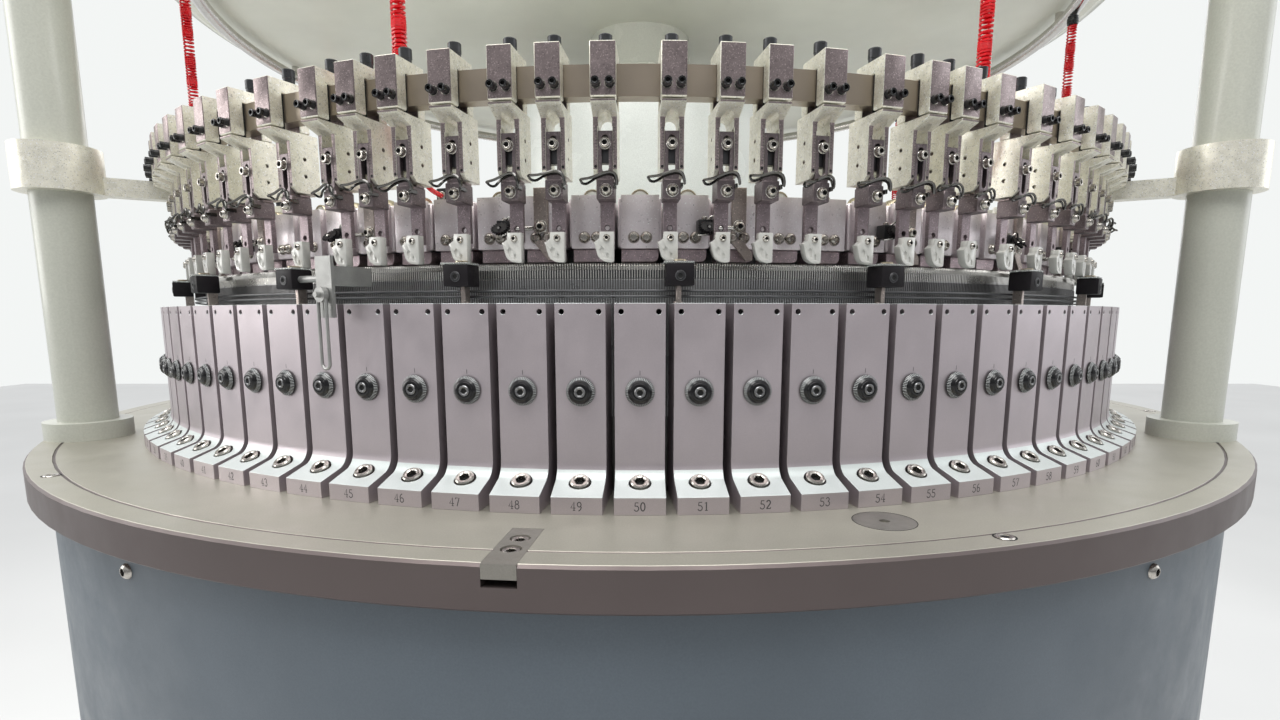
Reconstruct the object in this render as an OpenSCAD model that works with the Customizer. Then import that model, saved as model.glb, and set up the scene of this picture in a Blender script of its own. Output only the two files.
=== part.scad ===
// Large-diameter circular knitting machine for double jersey.
// The cylinder's axis is Z, the floor is z = 0 and the operator stands on the -Y side.
// Heights named _z are above the floor; those named _h are above the bed's top face.
// Stations are counted round the axis from the front, to the right for positive angles.

/* [Stations] */
// Number of knitting stations round the cylinder
stations = 96; // [80:8:112]
// Number stamped on the cam block that faces the operator
front_number = 50; // [50:1:60]
// Stations from one clip, latch guard or ring clamp to the next
group_step = 4; // [4:4:8]

/* [Cylinder and dial] */
// Radius of the needle circle
needle_r = 432; // [380:1:470]
// Thickness of the cylinder's wall
cylinder_wall = 24; // [20:1:30]
// Top of the cylinder above the bed
cylinder_top_h = 118; // [114:0.5:122]
// Bottom of the cylinder's bearing seat below the bed
cylinder_seat_h = -52; // [-58:1:-48]
// Number of ridges that stand for groups of needle tricks
ridges = 120; // [96:24:120]
// Top of the needle dial above the bed
dial_top_h = 124.5; // [122:0.5:126]
// Thickness of the needle dial's plate
dial_plate = 12; // [10:1:16]
// Radius of the dial's drive shaft
dial_shaft_r = 35; // [28:1:40]

/* [Bed] */
// Height of the bed's top face above the floor
bed_z = 900; // [820:10:1000]
// Width of open bed in front of the cam blocks' feet
bed_margin = 68.8; // [66:0.2:76]
// Height of the bed's outer rim
rim = 21; // [18:1:26]
// Width of the key plate let into the rim
key_w = 15; // [12:1:18]
// Length of the key plate
key_len = 46; // [40:1:54]
// Diameter of the plugs in the bed
plug_d = 30; // [24:1:34]

/* [Cam blocks] */
// Height of a cam block
block_h = 104.4; // [96:0.2:104.4]
// Radial depth of a cam block above its foot
block_depth = 28; // [24:0.5:30]
// Gap between neighbouring blocks at their inner faces
block_gap = 2.7; // [2:0.1:4]
// Reach of the foot in front of the block's face
foot_reach = 19.2; // [17:0.2:21]
// Height of the foot's front edge
foot_edge = 9; // [7:0.5:11]
// Slope of the foot's top
foot_slope = 30; // [26:1:34]
// Diameter of the two small holes near the top
block_hole_d = 3; // [2:0.5:4]
// Height of a stitch dial's axis
knob_h = 59.5; // [52:0.5:66]
// Outer diameter of a stitch dial
knob_d = 15.1; // [13:0.1:17]
// Distance that a stitch dial stands proud of the block
knob_out = 5; // [4:0.5:7]
// Radius of a stitch dial's spindle
spindle_r = 4; // [3:0.5:5]

/* [Feeders] */
// Radial width of the feeder ring
ring_w = 9; // [8:0.5:11]
// Bottom of the feeder ring above the bed
ring_h = 206; // [204:0.2:210]
// Height of the feeder ring's section
ring_t = 15.2; // [13:0.2:17]
// Gap from the needle circle to the feeder ring's inside
ring_gap = 11; // [10.5:0.5:14]
// Width of a feeder clamp
clamp_w = 12.6; // [11.5:0.1:14]
// Thickness of the clamp in front of the ring
clamp_front = 9; // [8:0.5:10]
// Width of a feeder arm
arm_w = 12.3; // [11.6:0.1:13.4]
// Height of the feeder arms' lower ends above the needle dial
arm_lift = 44.4; // [43:0.2:46]
// Width of a feeder slider
slider_w = 7.4; // [6.6:0.1:8]
// Share of the arm's length that the slider's upper bar covers
slider_share = 0.67; // [0.62:0.002:0.7]
// Width of a ceramic feeder
ceramic_w = 10.6; // [9:0.1:12]
// Height of a ceramic feeder
ceramic_len = 15.5; // [14:0.1:15.6]
// Thickness of a ceramic feeder
ceramic_t = 5; // [4:0.5:6]

/* [Dial cams] */
// Height of a dial cam block
dial_cam_len = 29; // [27:0.5:31]
// Bottom of the dial cam blocks above the bed
dial_cam_h = 135.2; // [134:0.2:138]
// Gap between neighbouring dial cam blocks
dial_cam_gap = 2.6; // [2:0.1:4]
// Height of the dark cam shoes below them
shoe_len = 7; // [5:0.5:8]
// Width of a latch guard plate
guard_w = 8; // [6:0.5:9]

/* [Upper frame] */
// Radius of the hub drum
drum_r = 150; // [130:5:170]
// Top of the hub drum above the bed
drum_top_h = 335; // [320:1:345]
// Bottom of the crown above the bed
crown_h = 400; // [390:5:430]
// Thickness of the crown
crown_t = 55; // [45:5:65]
// Radius of a column
column_r = 20; // [16:1:22]
// Radius of the red coiled air hose
coil_r = 4.5; // [3.5:0.5:5]
// Radius of the thin air tube
tube_r = 1.5; // [1:0.25:2]

/* [Drive] */
// Distance from the main gear's pitch circle to the needle circle
gear_inset = 42; // [38:1:46]
// Teeth on the main gear
gear_teeth = 130; // [126:2:130]
// Teeth on the drive pinion
pinion_teeth = 22; // [18:2:22]
// Face width of the main gear
gear_face = 25; // [20:1:30]
// Radius of the motor
motor_r = 62; // [50:1:64]
// Length of the motor
motor_len = 250; // [200:5:300]

/* [Take-down] */
// Distance from the axis to the outside of a side plate
side_x = 306; // [290:1:312]
// Thickness of a side plate
side_t = 12; // [10:1:16]
// Width of a side plate
side_w = 240; // [200:5:260]
// Radius of a nip roller
nip_r = 23; // [20:1:26]
// Gap between the two nip rollers
nip_gap = 2; // [1:0.5:4]
// Height of the nip rollers above the floor
nip_z = 520; // [440:5:560]
// Radius of the cloth beam
beam_r = 30; // [25:1:40]
// Height of the cloth beam above the floor
beam_z = 330; // [260:5:380]

/* [Stand] */
// Width of a leg
leg_w = 110; // [90:5:120]
// Height of the base casting's top above the floor
base_top_z = 75; // [65:5:95]
// Height of the base casting
base_t = 50; // [40:5:55]
// Height of the blue apron
apron_len = 239; // [200:1:260]
// Thickness of the apron and guard panels
sheet = 4; // [3:0.5:5]
// Radius of the supply cable's inlet in the rear guard panel
inlet_r = 10; // [8:0.5:14]
// Half of the angle that the front door spans
door_half = 34.7; // [28:0.1:36]
// Thickness of the front door
door_t = 3; // [2:0.5:4]

/* [Hidden] */
$fn = 64;

// Angle from one station to the next
step = 360 / stations;
// Clearance of a part that turns in a bore
run_fit = 0.05;
// Clearance between parts that slide past each other
slip = 0.3;
// Overlap that makes a cut break through a face
cut = 1;

// Radii of the knitting head, from the needles outwards
cylinder_r = needle_r - 0.5;
cam_r = needle_r + 4;
face_r = cam_r + block_depth;
foot_r = face_r + foot_reach;
bed_r = foot_r + bed_margin;
block_w = 2 * cam_r * tan(step / 2) - block_gap;
ring_in_r = needle_r + ring_gap;
ring_out_r = ring_in_r + ring_w;

// Feeder column: clamp, arm, slider and ceramic
clamp_out_r = ring_out_r + clamp_front;
clamp_in_r = ring_in_r - 6.5;
clamp_bottom_h = ring_h - 3.5;
clamp_top_h = ring_h + ring_t + 7.8;
arm_r = ring_out_r - 2;
arm_back_r = clamp_in_r - 5;
arm_bottom_h = dial_top_h + arm_lift;
arm_len = clamp_bottom_h - arm_bottom_h;
slider_len = slider_share * arm_len;
slider_slot = [0.1 * arm_len, 0.53 * arm_len];
slot_w = 7;
slider_t = 3.2;
slider_back_r = arm_r - slider_t;
slider_top_h = arm_bottom_h + slider_len - 1;
guide_block_h = 10;
guide_block_w = 9.2;
guide_block_bottom_h = arm_bottom_h - 1.9 - guide_block_h;
bar_back_r = needle_r + 5;
bar_t = 3;
bar_bottom_h = dial_top_h + 12.5;
bar_w = 7.4;
ceramic_bottom_h = bar_bottom_h + 4.5 - ceramic_len;
guide_t = 1.4;

// Dial cams, which hang from the cam plate in front of the hub
dial_cam_r = needle_r - 11;
dial_cam_back_r = dial_cam_r - 25;
dial_cam_w = 2 * dial_cam_r * tan(step / 2) - dial_cam_gap;
dial_cam_top_h = dial_cam_h + dial_cam_len;
plate_t = 13;
plate_top_h = dial_cam_top_h - 2.5;
dial_edge_r = needle_r - 4;

// Clamps of the guard ring, which stand on the cam blocks
guard_ring_r = needle_r + 8;
guard_wire_r = 0.7;
post_w = 3.5;
post_in_r = guard_ring_r + guard_wire_r + slip;
cube_w = 14.5;
cube_h = 9;
cube_t = 11.4;
cube_depth = 14;

// Upper frame
column_at = bed_r - 30;
column_angles = [60, 180, 300];
crown_r = bed_r - 82;
lug_w = 60;
neck_r = 55;
air_ring_r = ring_in_r - 12.5;
air_pipe_r = 6;
air_ring_h = crown_h - 12;
hose_r = air_ring_r;
coil_bottom_h = ring_h + ring_t + 6;
coil_top_h = air_ring_h - air_pipe_r - 8;

// Below the bed
seat_r = cylinder_r - 16.5;
neck_out_r = seat_r - 0.5;
gear_top_h = cylinder_seat_h - 23;
gear_r = needle_r - gear_inset;
gear_module = 2 * gear_r / gear_teeth;
pinion_r = gear_module * pinion_teeth / 2;
gear_bore_r = gear_r - 45;
drive_angle = 120;
pinion_at = gear_r + pinion_r;
pinion_shaft_r = 12;
bearing_out_r = cylinder_r + 58.5;
hanger_h = gear_top_h - gear_face - 18;
hanger_t = 12;
leg_out_r = bed_r - 24;
leg_head_r = bearing_out_r + 4;
leg_in_r = leg_out_r - 118;
leg_head_h = gear_top_h - gear_face - 5;
shell_r = bed_r - 12;
apron_bottom_z = bed_z - rim - apron_len;
base_in_r = leg_in_r + 10;
hinge_r = shell_r + 5.8;
hinge_angle = -(door_half + 0.35);
hinge_pin_r = 3.5;
knuckle_r = 6;
knuckle_len = 40;
hinge_z = [base_top_z + 80, apron_bottom_z - 120];
inlet_angle = 150;
inlet_z = base_top_z + 95;

// Turns a child to a place round the axis, measured from the front
module at(angle) {
    rotate([0, 0, angle]) children();
}

// Repeats a child at evenly spaced places; first is the place of the first, in spacings
module round_axis(count, first = 0) {
    for (i = [0 : count - 1])
        at((i + first) * 360 / count) children();
}

// The feeders near the front have been slid along the ring by hand, by these parts of a spacing
first_slid = -8;
slides = [0.25, 0.45, 0.3, 0.15, 0.15, 0.2, 0, -0.1, 0.05, 0, -0.2, -0.25, -0.15, -0.2, -0.45, -0.55,
    -0.3, -0.1];
function slide(i) = i < first_slid || i >= first_slid + len(slides) ? 0 : slides[i - first_slid];

function feeder_angle(i) = (i + 0.5 + slide(i)) * step;

// Repeats a child at every feeder's place on the ring
module at_feeders() {
    for (i = [-stations / 2 : stations / 2 - 1]) at(feeder_angle(i)) children();
}

// Repeats a child where an air hose comes down, midway between two feeders
hose_gaps = [-41, -29, -17, -5, 8, 20, 32, 43];
module at_hoses() {
    for (i = hose_gaps) at((feeder_angle(i - 1) + feeder_angle(i)) / 2) children();
}

// Extrudes an outline drawn as [radius, height] to a width across the radius
module across(width) {
    rotate([0, 0, -90]) rotate([90, 0, 0])
        linear_extrude(width, center = true) children();
}

// Ring with a rectangular section
module band(inner, outer, bottom, height) {
    translate([0, 0, bottom]) difference() {
        cylinder(r = outer, h = height);
        translate([0, 0, -cut]) cylinder(r = inner, h = height + 2 * cut);
    }
}

// Curved sheet from one angle to another
module curved_sheet(inner, thickness, bottom, height, from, to) {
    translate([0, 0, bottom]) rotate([0, 0, from - 90])
        rotate_extrude(angle = to - from) translate([inner, 0]) square([thickness, height]);
}

// Cylinder that points outwards from the axis, starting at a radius
module radial_pin(radius, length, start_r, height) {
    translate([0, -start_r, height]) rotate([90, 0, 0]) cylinder(r = radius, h = length);
}

// Points of an arc, ends included
function arc(centre, radius, from, to, parts) = [for (i = [0 : parts])
    let (a = from + (to - from) * i / parts) centre + radius * [cos(a), sin(a)]];

// One casting with the notch for the key plate and holes for the plugs
module bed_plate() {
    color([0.66, 0.64, 0.57]) translate([0, 0, bed_z]) difference() {
        rotate_extrude() polygon([[cam_r, -rim], [bed_r - 1, -rim], [bed_r, 1 - rim],
            [bed_r, -1.5], [bed_r - 1.5, 0], [bed_r - 15, 0], [bed_r - 15.5, -0.6],
            [bed_r - 16.5, -0.6], [bed_r - 17, 0], [cam_r, 0]]);
        at(-5.9) translate([-key_w / 2 - 0.1, -bed_r - cut, -10.1])
            cube([key_w + 0.2, key_len + cut, 10.1 + cut]);
        for (i = [0 : 2]) at(13.5 + 120 * i)
            translate([0, -bed_r + 46, -rim - cut]) cylinder(d = plug_d, h = rim + 2 * cut);
    }
}

// Key plate with a rounded back end and two counterbored screw holes
module bed_key_plate() {
    color([0.68, 0.66, 0.58]) translate([0, 0, bed_z]) at(-5.9) difference() {
        translate([-key_w / 2, -bed_r, -6.6]) cube([key_w, key_len - 0.2, 6.6]);
        for (back = [18, 32])
            translate([0, -bed_r + back, -5]) cylinder(d = 9.5, h = 5 + cut);
    }
}

module bed_plugs() {
    color([0.35, 0.34, 0.33]) translate([0, 0, bed_z]) for (i = [0 : 2])
        at(13.5 + 120 * i) translate([0, -bed_r + 46, -rim]) difference() {
            cylinder(d = plug_d - 0.1, h = rim);
            translate([0, 0, rim - 2]) cylinder(r = 2.5, h = 2 + cut);
        }
}

// Lower bed ring: guides the cylinder, carries its seat and holds the pinion's upper bearing
module bearing_ring() {
    color([0.42, 0.43, 0.44]) translate([0, 0, bed_z]) difference() {
        rotate_extrude() polygon([[seat_r, cylinder_seat_h - 8], [bearing_out_r, cylinder_seat_h - 8],
            [bearing_out_r, -rim], [cylinder_r + 1, -rim], [cylinder_r + 1, cylinder_seat_h - slip],
            [seat_r, cylinder_seat_h - slip]]);
        at(drive_angle) translate([0, -pinion_at, cylinder_seat_h - 8 - cut])
            cylinder(r = pinion_shaft_r + run_fit, h = 28 + cut);
    }
}

// Outline of a cam block from the side, with its foot, fillet and the track for the needle butts
module cam_block_outline() {
    fillet = 10;
    rise = (foot_reach - fillet * tan((90 - foot_slope) / 2)) * tan(foot_slope);
    centre = [face_r + fillet, foot_edge + rise + fillet * tan((90 - foot_slope) / 2)];
    polygon(concat([[cam_r, 0], [foot_r, 0], [foot_r, foot_edge]],
        arc(centre, fillet, 270 - foot_slope, 180, 3),
        [[face_r, block_h], [cam_r, block_h], [cam_r, knob_h + 6], [cam_r + 5, knob_h + 6],
        [cam_r + 5, knob_h - 10], [cam_r, knob_h - 10]]));
}

module cam_blocks() {
    screw_r = foot_r - 11.1;
    screw_h = foot_edge + 11.1 * tan(foot_slope);
    color([0.66, 0.64, 0.66]) translate([0, 0, bed_z]) round_axis(stations) difference() {
        across(block_w) cam_block_outline();
        radial_pin(spindle_r + run_fit, block_depth + 2 * cut, cam_r - cut, knob_h);
        for (side = [-9.5, 9.5])
            translate([side, 0, 0]) radial_pin(block_hole_d / 2, 8 + cut, face_r - 8, block_h - 4.3);
        translate([0, -screw_r, screw_h]) rotate([foot_slope, 0, 0]) translate([0, 0, -6])
            cylinder(d = 11.8, h = 12);
    }
}

// Conical stitch dial and its spindle, which reaches into the block to the stitch cam
module stitch_dial(number) {
    color([0.03, 0.03, 0.04]) translate([0, 0, bed_z + knob_h])
        at((number - front_number) * step) translate([0, -face_r, 0]) rotate([90, 0, 0])
            rotate_extrude() polygon([[0, 6 - block_depth], [spindle_r, 6 - block_depth],
                [spindle_r, slip], [knob_d / 2, slip], [knob_d / 2, 1],
                [knob_d / 2 - 2.25, knob_out - 1.3], [3.95, knob_out - 1],
                [3.95, knob_out], [0, knob_out]]);
}

// The dials of the stations round the back, past the fourteen that are nodes of their own
module stitch_dials_rear() {
    for (number = [58 : 43 + stations]) stitch_dial(number);
}

// Two fine rings that keep yarn ends off the needle butts
module needle_guard_ring() {
    color([0.8, 0.8, 0.78]) for (level = [3.9, 6.9])
        translate([0, 0, bed_z + block_h + level]) rotate_extrude()
            translate([guard_ring_r, 0]) circle(r = guard_wire_r, $fn = 16);
}

// Black cubes on square posts that hold the guard ring
module guard_ring_clamps() {
    color([0.06, 0.06, 0.07]) translate([0, 0, bed_z + block_h])
        for (i = [0 : stations / group_step - 1]) at((group_step * i + 0.7) * step) {
            translate([-post_w / 2, -post_in_r - 6, 0]) cube([post_w, 6, cube_h]);
            translate([-cube_w / 2, -post_in_r - cube_depth, cube_h])
                cube([cube_w, cube_depth, cube_t]);
        }
}

module feeder_ring() {
    color([0.71, 0.66, 0.59]) band(ring_in_r, ring_out_r, bed_z + ring_h, ring_t);
}

// Arms from the columns that the feeder ring rests on
module feeder_ring_brackets() {
    collar_r = 29;
    color([0.6, 0.58, 0.55]) for (angle = column_angles) at(angle) difference() {
        union() {
            translate([0, -column_at, bed_z + ring_h - 14]) cylinder(r = collar_r, h = 34);
            translate([-7, -column_at, bed_z + ring_h - 14]) cube([14, column_at - ring_in_r, 14]);
        }
        translate([0, -column_at, bed_z + ring_h - 14 - cut])
            cylinder(r = column_r + run_fit, h = 34 + 2 * cut);
    }
}

// Block that hooks over the feeder ring
module feeder_clamps() {
    color([0.62, 0.59, 0.6]) translate([0, 0, bed_z]) at_feeders()
        across(clamp_w) polygon([[clamp_in_r, clamp_bottom_h], [ring_in_r - slip, clamp_bottom_h],
            [ring_in_r - slip, ring_h + ring_t], [ring_out_r + slip, ring_h + ring_t],
            [ring_out_r + slip, clamp_bottom_h + 0.6], [clamp_out_r, clamp_bottom_h + 0.6],
            [clamp_out_r, clamp_top_h - 0.8], [clamp_out_r - 0.8, clamp_top_h],
            [clamp_in_r, clamp_top_h]]);
}

// Arm with a sloped shoulder, an arched window and a channel for the slider
module feeder_arms() {
    shoulder_h = clamp_bottom_h - 1;
    window_bottom_h = arm_bottom_h + 4;
    window_top_h = clamp_bottom_h - 3;
    color([0.6, 0.57, 0.56]) translate([0, 0, bed_z]) at_feeders() difference() {
        across(arm_w) polygon([[arm_back_r, clamp_bottom_h], [clamp_out_r, clamp_bottom_h],
            [clamp_out_r, shoulder_h], [arm_r, shoulder_h - 4.5], [arm_r, arm_bottom_h + 3],
            [arm_r - 3, arm_bottom_h], [arm_back_r, arm_bottom_h]]);
        translate([-slider_w / 2 - 0.2, -arm_r - cut, arm_bottom_h - cut])
            cube([slider_w + 0.4, slider_t + cut, slider_len + 1]);
        translate([0, 0, window_bottom_h]) translate([-slot_w / 2, -clamp_out_r - cut, 0])
            cube([slot_w, clamp_out_r - arm_back_r + 2 * cut, window_top_h - window_bottom_h - slot_w / 2]);
        radial_pin(slot_w / 2, clamp_out_r - arm_back_r + 2 * cut, arm_back_r - cut,
            window_top_h - slot_w / 2);
    }
}

// Slotted bar, guide block and lower bar, which carry the thread guide and the ceramic
module feeder_sliders() {
    color([0.5, 0.47, 0.47]) translate([0, 0, bed_z]) at_feeders() difference() {
        union() {
            translate([-slider_w / 2, -arm_r, guide_block_bottom_h])
                cube([slider_w, slider_t, slider_top_h - guide_block_bottom_h]);
            translate([-guide_block_w / 2, -arm_r - 0.4, guide_block_bottom_h])
                cube([guide_block_w, arm_r + 0.4 - bar_back_r, guide_block_h]);
            translate([-bar_w / 2, -bar_back_r - bar_t, bar_bottom_h])
                cube([bar_w, bar_t, guide_block_bottom_h - bar_bottom_h + cut]);
        }
        for (level = slider_slot) radial_pin(1.8, slider_t + 2 * cut, slider_back_r - cut,
            arm_bottom_h + level);
        translate([-1.8, -arm_r - cut, arm_bottom_h + slider_slot[0]])
            cube([3.6, slider_t + 2 * cut, slider_slot[1] - slider_slot[0]]);
        radial_pin(1.5, bar_t + 2 * cut, bar_back_r - cut, bar_bottom_h + 7);
    }
}

// Bent finger with an eyelet, on top of the guide block
module yarn_guides() {
    bend_r = 9;
    color([0.75, 0.74, 0.72]) translate([0, 0, bed_z + guide_block_bottom_h + guide_block_h])
        at_feeders() translate([0, -arm_r + 8, 0]) linear_extrude(guide_t)
            difference() {
                union() {
                    intersection() {
                        translate([0, -bend_r]) difference() {
                            circle(r = bend_r + 1);
                            circle(r = bend_r - 1);
                        }
                        translate([-bend_r - 2, -bend_r]) square([bend_r + 2, bend_r + 2]);
                    }
                    translate([-bend_r, -bend_r - 1.5]) circle(r = 2.8);
                }
                translate([-bend_r, -bend_r - 1.5]) circle(r = 1.5);
            }
}

// Outline of a ceramic feeder from the front: screw tab, wing and tapered nose
module ceramic_outline() {
    w = ceramic_w;
    h = ceramic_len;
    x = -0.64 * w;
    polygon([[x + 0.3 * w, h], [x + w, h], [x + w, 0.04 * h], [x + 0.93 * w, 0],
        [x + 0.52 * w, 0.02 * h], [x + 0.2 * w, 0.2 * h], [x + 0.08 * w, 0.54 * h],
        [x, 0.66 * h], [x + 0.27 * w, 0.78 * h]]);
}

module ceramic_feeders() {
    color([0.93, 0.92, 0.89]) translate([0, 0, bed_z + ceramic_bottom_h])
        at_feeders() translate([0, -bar_back_r - bar_t, 0]) rotate([90, 0, 0])
            linear_extrude(ceramic_t) ceramic_outline();
}

// Fixed plate over the needle dial, with its edge cut back for the cam blocks
module dial_cam_plate() {
    color([0.72, 0.73, 0.73])
        band(neck_r, dial_cam_back_r - slip, bed_z + plate_top_h - plate_t, plate_t);
}

// Cam blocks of the dial, each hooked over the plate's edge, with a narrower front plate and a knob
module dial_cam_blocks() {
    face_plate = 4;
    color([0.64, 0.63, 0.63]) translate([0, 0, bed_z]) round_axis(stations) {
        translate([-dial_cam_w / 2, -dial_cam_r + face_plate, dial_cam_h + 1])
            cube([dial_cam_w, dial_cam_r - face_plate - dial_cam_back_r, dial_cam_len - 2]);
        translate([-dial_cam_w / 2 + 1.8, -dial_cam_r, dial_cam_h])
            cube([dial_cam_w - 3.6, face_plate + 1, dial_cam_len]);
        translate([-9, -dial_cam_back_r - cut, plate_top_h])
            cube([18, 16 + cut, dial_cam_top_h - 1 - plate_top_h]);
        radial_pin(5.5, 8, dial_cam_r - 16, dial_cam_top_h - 1);
    }
}

module dial_cam_shoes() {
    color([0.42, 0.39, 0.4]) translate([0, 0, bed_z + dial_cam_h - shoe_len])
        round_axis(stations) difference() {
            translate([-10.5, -dial_cam_r + 5, 0]) cube([21, 13, shoe_len]);
            translate([10.5, -dial_cam_r + 5 - cut, 0]) rotate([0, 45, 0])
                cube([3, 13 + 2 * cut, 3], center = false);
        }
}

// Slotted steel plates that keep the latches open
module latch_guards() {
    foot_h = dial_top_h + 4;
    color([0.5, 0.46, 0.44]) translate([0, 0, bed_z])
        for (i = [0 : stations / group_step - 1]) at((group_step * i + 2) * step)
            translate([0, -dial_cam_r, 0]) rotate([90, 0, 0]) difference() {
                linear_extrude(2.5) polygon([[-guard_w / 2, foot_h + 10], [guard_w / 2, foot_h],
                    [guard_w / 2 + 4, foot_h], [guard_w / 2 + 4, foot_h + 4], [guard_w / 2, foot_h + 9],
                    [guard_w / 2, dial_cam_top_h + 4], [-guard_w / 2, dial_cam_top_h + 4]]);
                for (level = [13, 19]) translate([0, foot_h + level, -cut])
                    cylinder(r = 1.7, h = 2.5 + 2 * cut);
                translate([-1.7, foot_h + 13, -cut]) cube([3.4, 6, 2.5 + 2 * cut]);
            }
}

// Clip on a short rod beside each latch guard, with two thin discs on a bent wire
module yarn_clips() {
    level = dial_cam_h + 11;
    color([0.05, 0.05, 0.055]) translate([0, 0, bed_z])
        for (i = [0 : stations / group_step - 1]) at((group_step * i + 2) * step)
            translate([-guard_w / 2, -dial_cam_r - 3.8, level]) {
                rotate([0, -90, 0]) cylinder(r = 1.2, h = 13);
                translate([-20, -3.5, -4]) cube([8, 7, 8]);
                translate([-16, -3.5, -1]) rotate([90, 0, 0]) cylinder(r = 0.7, h = 8.5);
                translate([-16, -6, -1]) rotate([90, 0, 0]) cylinder(r = 5, h = 1.4);
                translate([-16, -9.4, -1]) rotate([90, 0, 0]) cylinder(r = 5, h = 1.4);
            }
}

// Slotted bracket on a rod from a ring clamp, with the pin of the hairpin lever
fork_angle = (0.7 - 2 * group_step) * step;
fork_x = 57;
fork_r = foot_r - 13;
fork_pin_h = block_h + 4.6;
module fork_bracket() {
    rod_h = block_h + cube_h + cube_t / 2;
    color([0.78, 0.77, 0.75]) translate([0, 0, bed_z]) at(fork_angle) {
        translate([cube_w / 2, -post_in_r - 8, rod_h]) rotate([0, 90, 0])
            cylinder(r = 2, h = fork_x - cube_w / 2);
        translate([fork_x - 6, -fork_r, rod_h - 5]) cube([11, fork_r - post_in_r - 4, 10]);
        difference() {
            translate([fork_x - 6, -fork_r - 2, fork_pin_h - 12]) cube([12, 2, rod_h - fork_pin_h + 22]);
            translate([fork_x - 1.5, -fork_r - 2 - cut, fork_pin_h - 8]) cube([3, 2 + 2 * cut, 4]);
        }
        translate([fork_x, -fork_r - 1, fork_pin_h]) rotate([90, 0, 0]) cylinder(r = 1.5, h = 7);
    }
}

// Bent wire lever that hangs from the bracket's pin
module hairpin_lever() {
    wire_r = 0.9;
    color([0.8, 0.8, 0.78]) translate([0, 0, bed_z]) at(fork_angle)
        translate([fork_x, -fork_r - 2.4, fork_pin_h]) {
            rotate([90, 0, 0]) difference() {
                cylinder(r = 4, h = 3);
                translate([0, 0, -cut]) cylinder(r = 1.5 + run_fit, h = 3 + 2 * cut);
            }
            for (side = [-3, 3]) translate([side, -1.5, -36]) cylinder(r = wire_r, h = 34);
            translate([0, -1.5, -36]) rotate([90, 180, 0]) rotate_extrude(angle = 180)
                translate([3, 0]) circle(r = wire_r, $fn = 16);
        }
}

// Drum and neck that hang the fixed cam plate from the crown
module hub_drum() {
    wall = 14;
    round = 26;
    color([0.84, 0.85, 0.83]) translate([0, 0, bed_z]) rotate_extrude()
        polygon(concat([[drum_r - wall, plate_top_h], [drum_r, plate_top_h]],
            arc([drum_r - round, drum_top_h - round], round, 0, 90, 6),
            [[neck_r + 12, drum_top_h], [neck_r, drum_top_h + 12], [neck_r, crown_h],
            [dial_shaft_r + 8, crown_h], [dial_shaft_r + 8, drum_top_h - wall],
            [drum_r - wall - 12, drum_top_h - wall], [drum_r - wall, drum_top_h - wall - 12]]));
}

// Round cast head that bridges the columns and holds the drum and the dial's shaft
module crown() {
    lug_h = crown_t - 15;
    color([0.62, 0.65, 0.62]) translate([0, 0, bed_z + crown_h]) difference() {
        union() {
            rotate_extrude() polygon([[dial_shaft_r, 0], [crown_r - 14, 0], [crown_r - 4, 4],
                [crown_r, 14], [crown_r, crown_t - 14], [crown_r - 10, crown_t - 4],
                [drum_r + 20, crown_t], [dial_shaft_r, crown_t]]);
            for (angle = column_angles) at(angle) {
                translate([-lug_w / 2, -column_at, 6]) cube([lug_w, column_at - crown_r + 30, lug_h]);
                translate([0, -column_at, 6]) cylinder(r = bed_r - column_at - 0.5, h = lug_h);
            }
        }
        translate([0, 0, -cut]) cylinder(r = dial_shaft_r + run_fit, h = crown_t + 2 * cut);
        for (angle = column_angles) at(angle) translate([0, -column_at, 6 - cut])
            cylinder(r = column_r + run_fit, h = lug_h + 2 * cut);
        for (i = [0 : 2]) at(120 * i) translate([0, -300, crown_t - 30])
            cylinder(r = 7, h = 30 + cut);
    }
}

module columns() {
    color([0.6, 0.62, 0.62]) for (angle = column_angles) at(angle)
        translate([0, -column_at, bed_z]) {
            cylinder(r = column_r, h = crown_h + crown_t - 6);
            cylinder(r = bed_r - column_at - 0.5, h = 14);
        }
}

// Air pipe under the crown that feeds the coiled hoses
module air_ring() {
    color([0.7, 0.7, 0.7]) translate([0, 0, bed_z + air_ring_h]) {
        rotate_extrude() translate([air_ring_r, 0]) circle(r = air_pipe_r, $fn = 24);
        for (i = [0 : 5]) at(60 * i + 20) translate([0, -air_ring_r, 4])
            cylinder(r = 4, h = crown_h - air_ring_h - 4);
    }
}

module hose_coils() {
    color([0.85, 0.05, 0.08]) at_hoses() translate([0, -hose_r, bed_z + coil_bottom_h])
        cylinder(r = coil_r, h = coil_top_h - coil_bottom_h);
}

// Route of a thin air tube from its union down to its nozzle over the dial cams, as [radius, height]
tail_end = [dial_cam_back_r - 0.5, dial_cam_top_h + 6.5];
tail_in = hose_r - tail_end[0];
tail_drop = ring_h - tail_end[1];
tail_route = [[hose_r, ring_h + 3], [hose_r, ring_h - 0.2 * tail_drop],
    [hose_r - 0.11 * tail_in, ring_h - 0.48 * tail_drop],
    [hose_r - 0.34 * tail_in, ring_h - 0.74 * tail_drop],
    [hose_r - 0.63 * tail_in, ring_h - 0.93 * tail_drop], [tail_end[0] + 0.25 * tube_r, tail_end[1]]];

// Ring of points round one place on a route that lies in a radial plane
function tube_ring(route, i, radius, sides) =
    let (before = route[max(i - 1, 0)], after = route[min(i + 1, len(route) - 1)],
        d = (after - before) / norm(after - before))
    [for (s = [0 : sides - 1]) let (a = 360 * s / sides, n = radius * cos(a))
        [radius * sin(a), -route[i][0] + n * d[1], route[i][1] + n * d[0]]];

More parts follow.
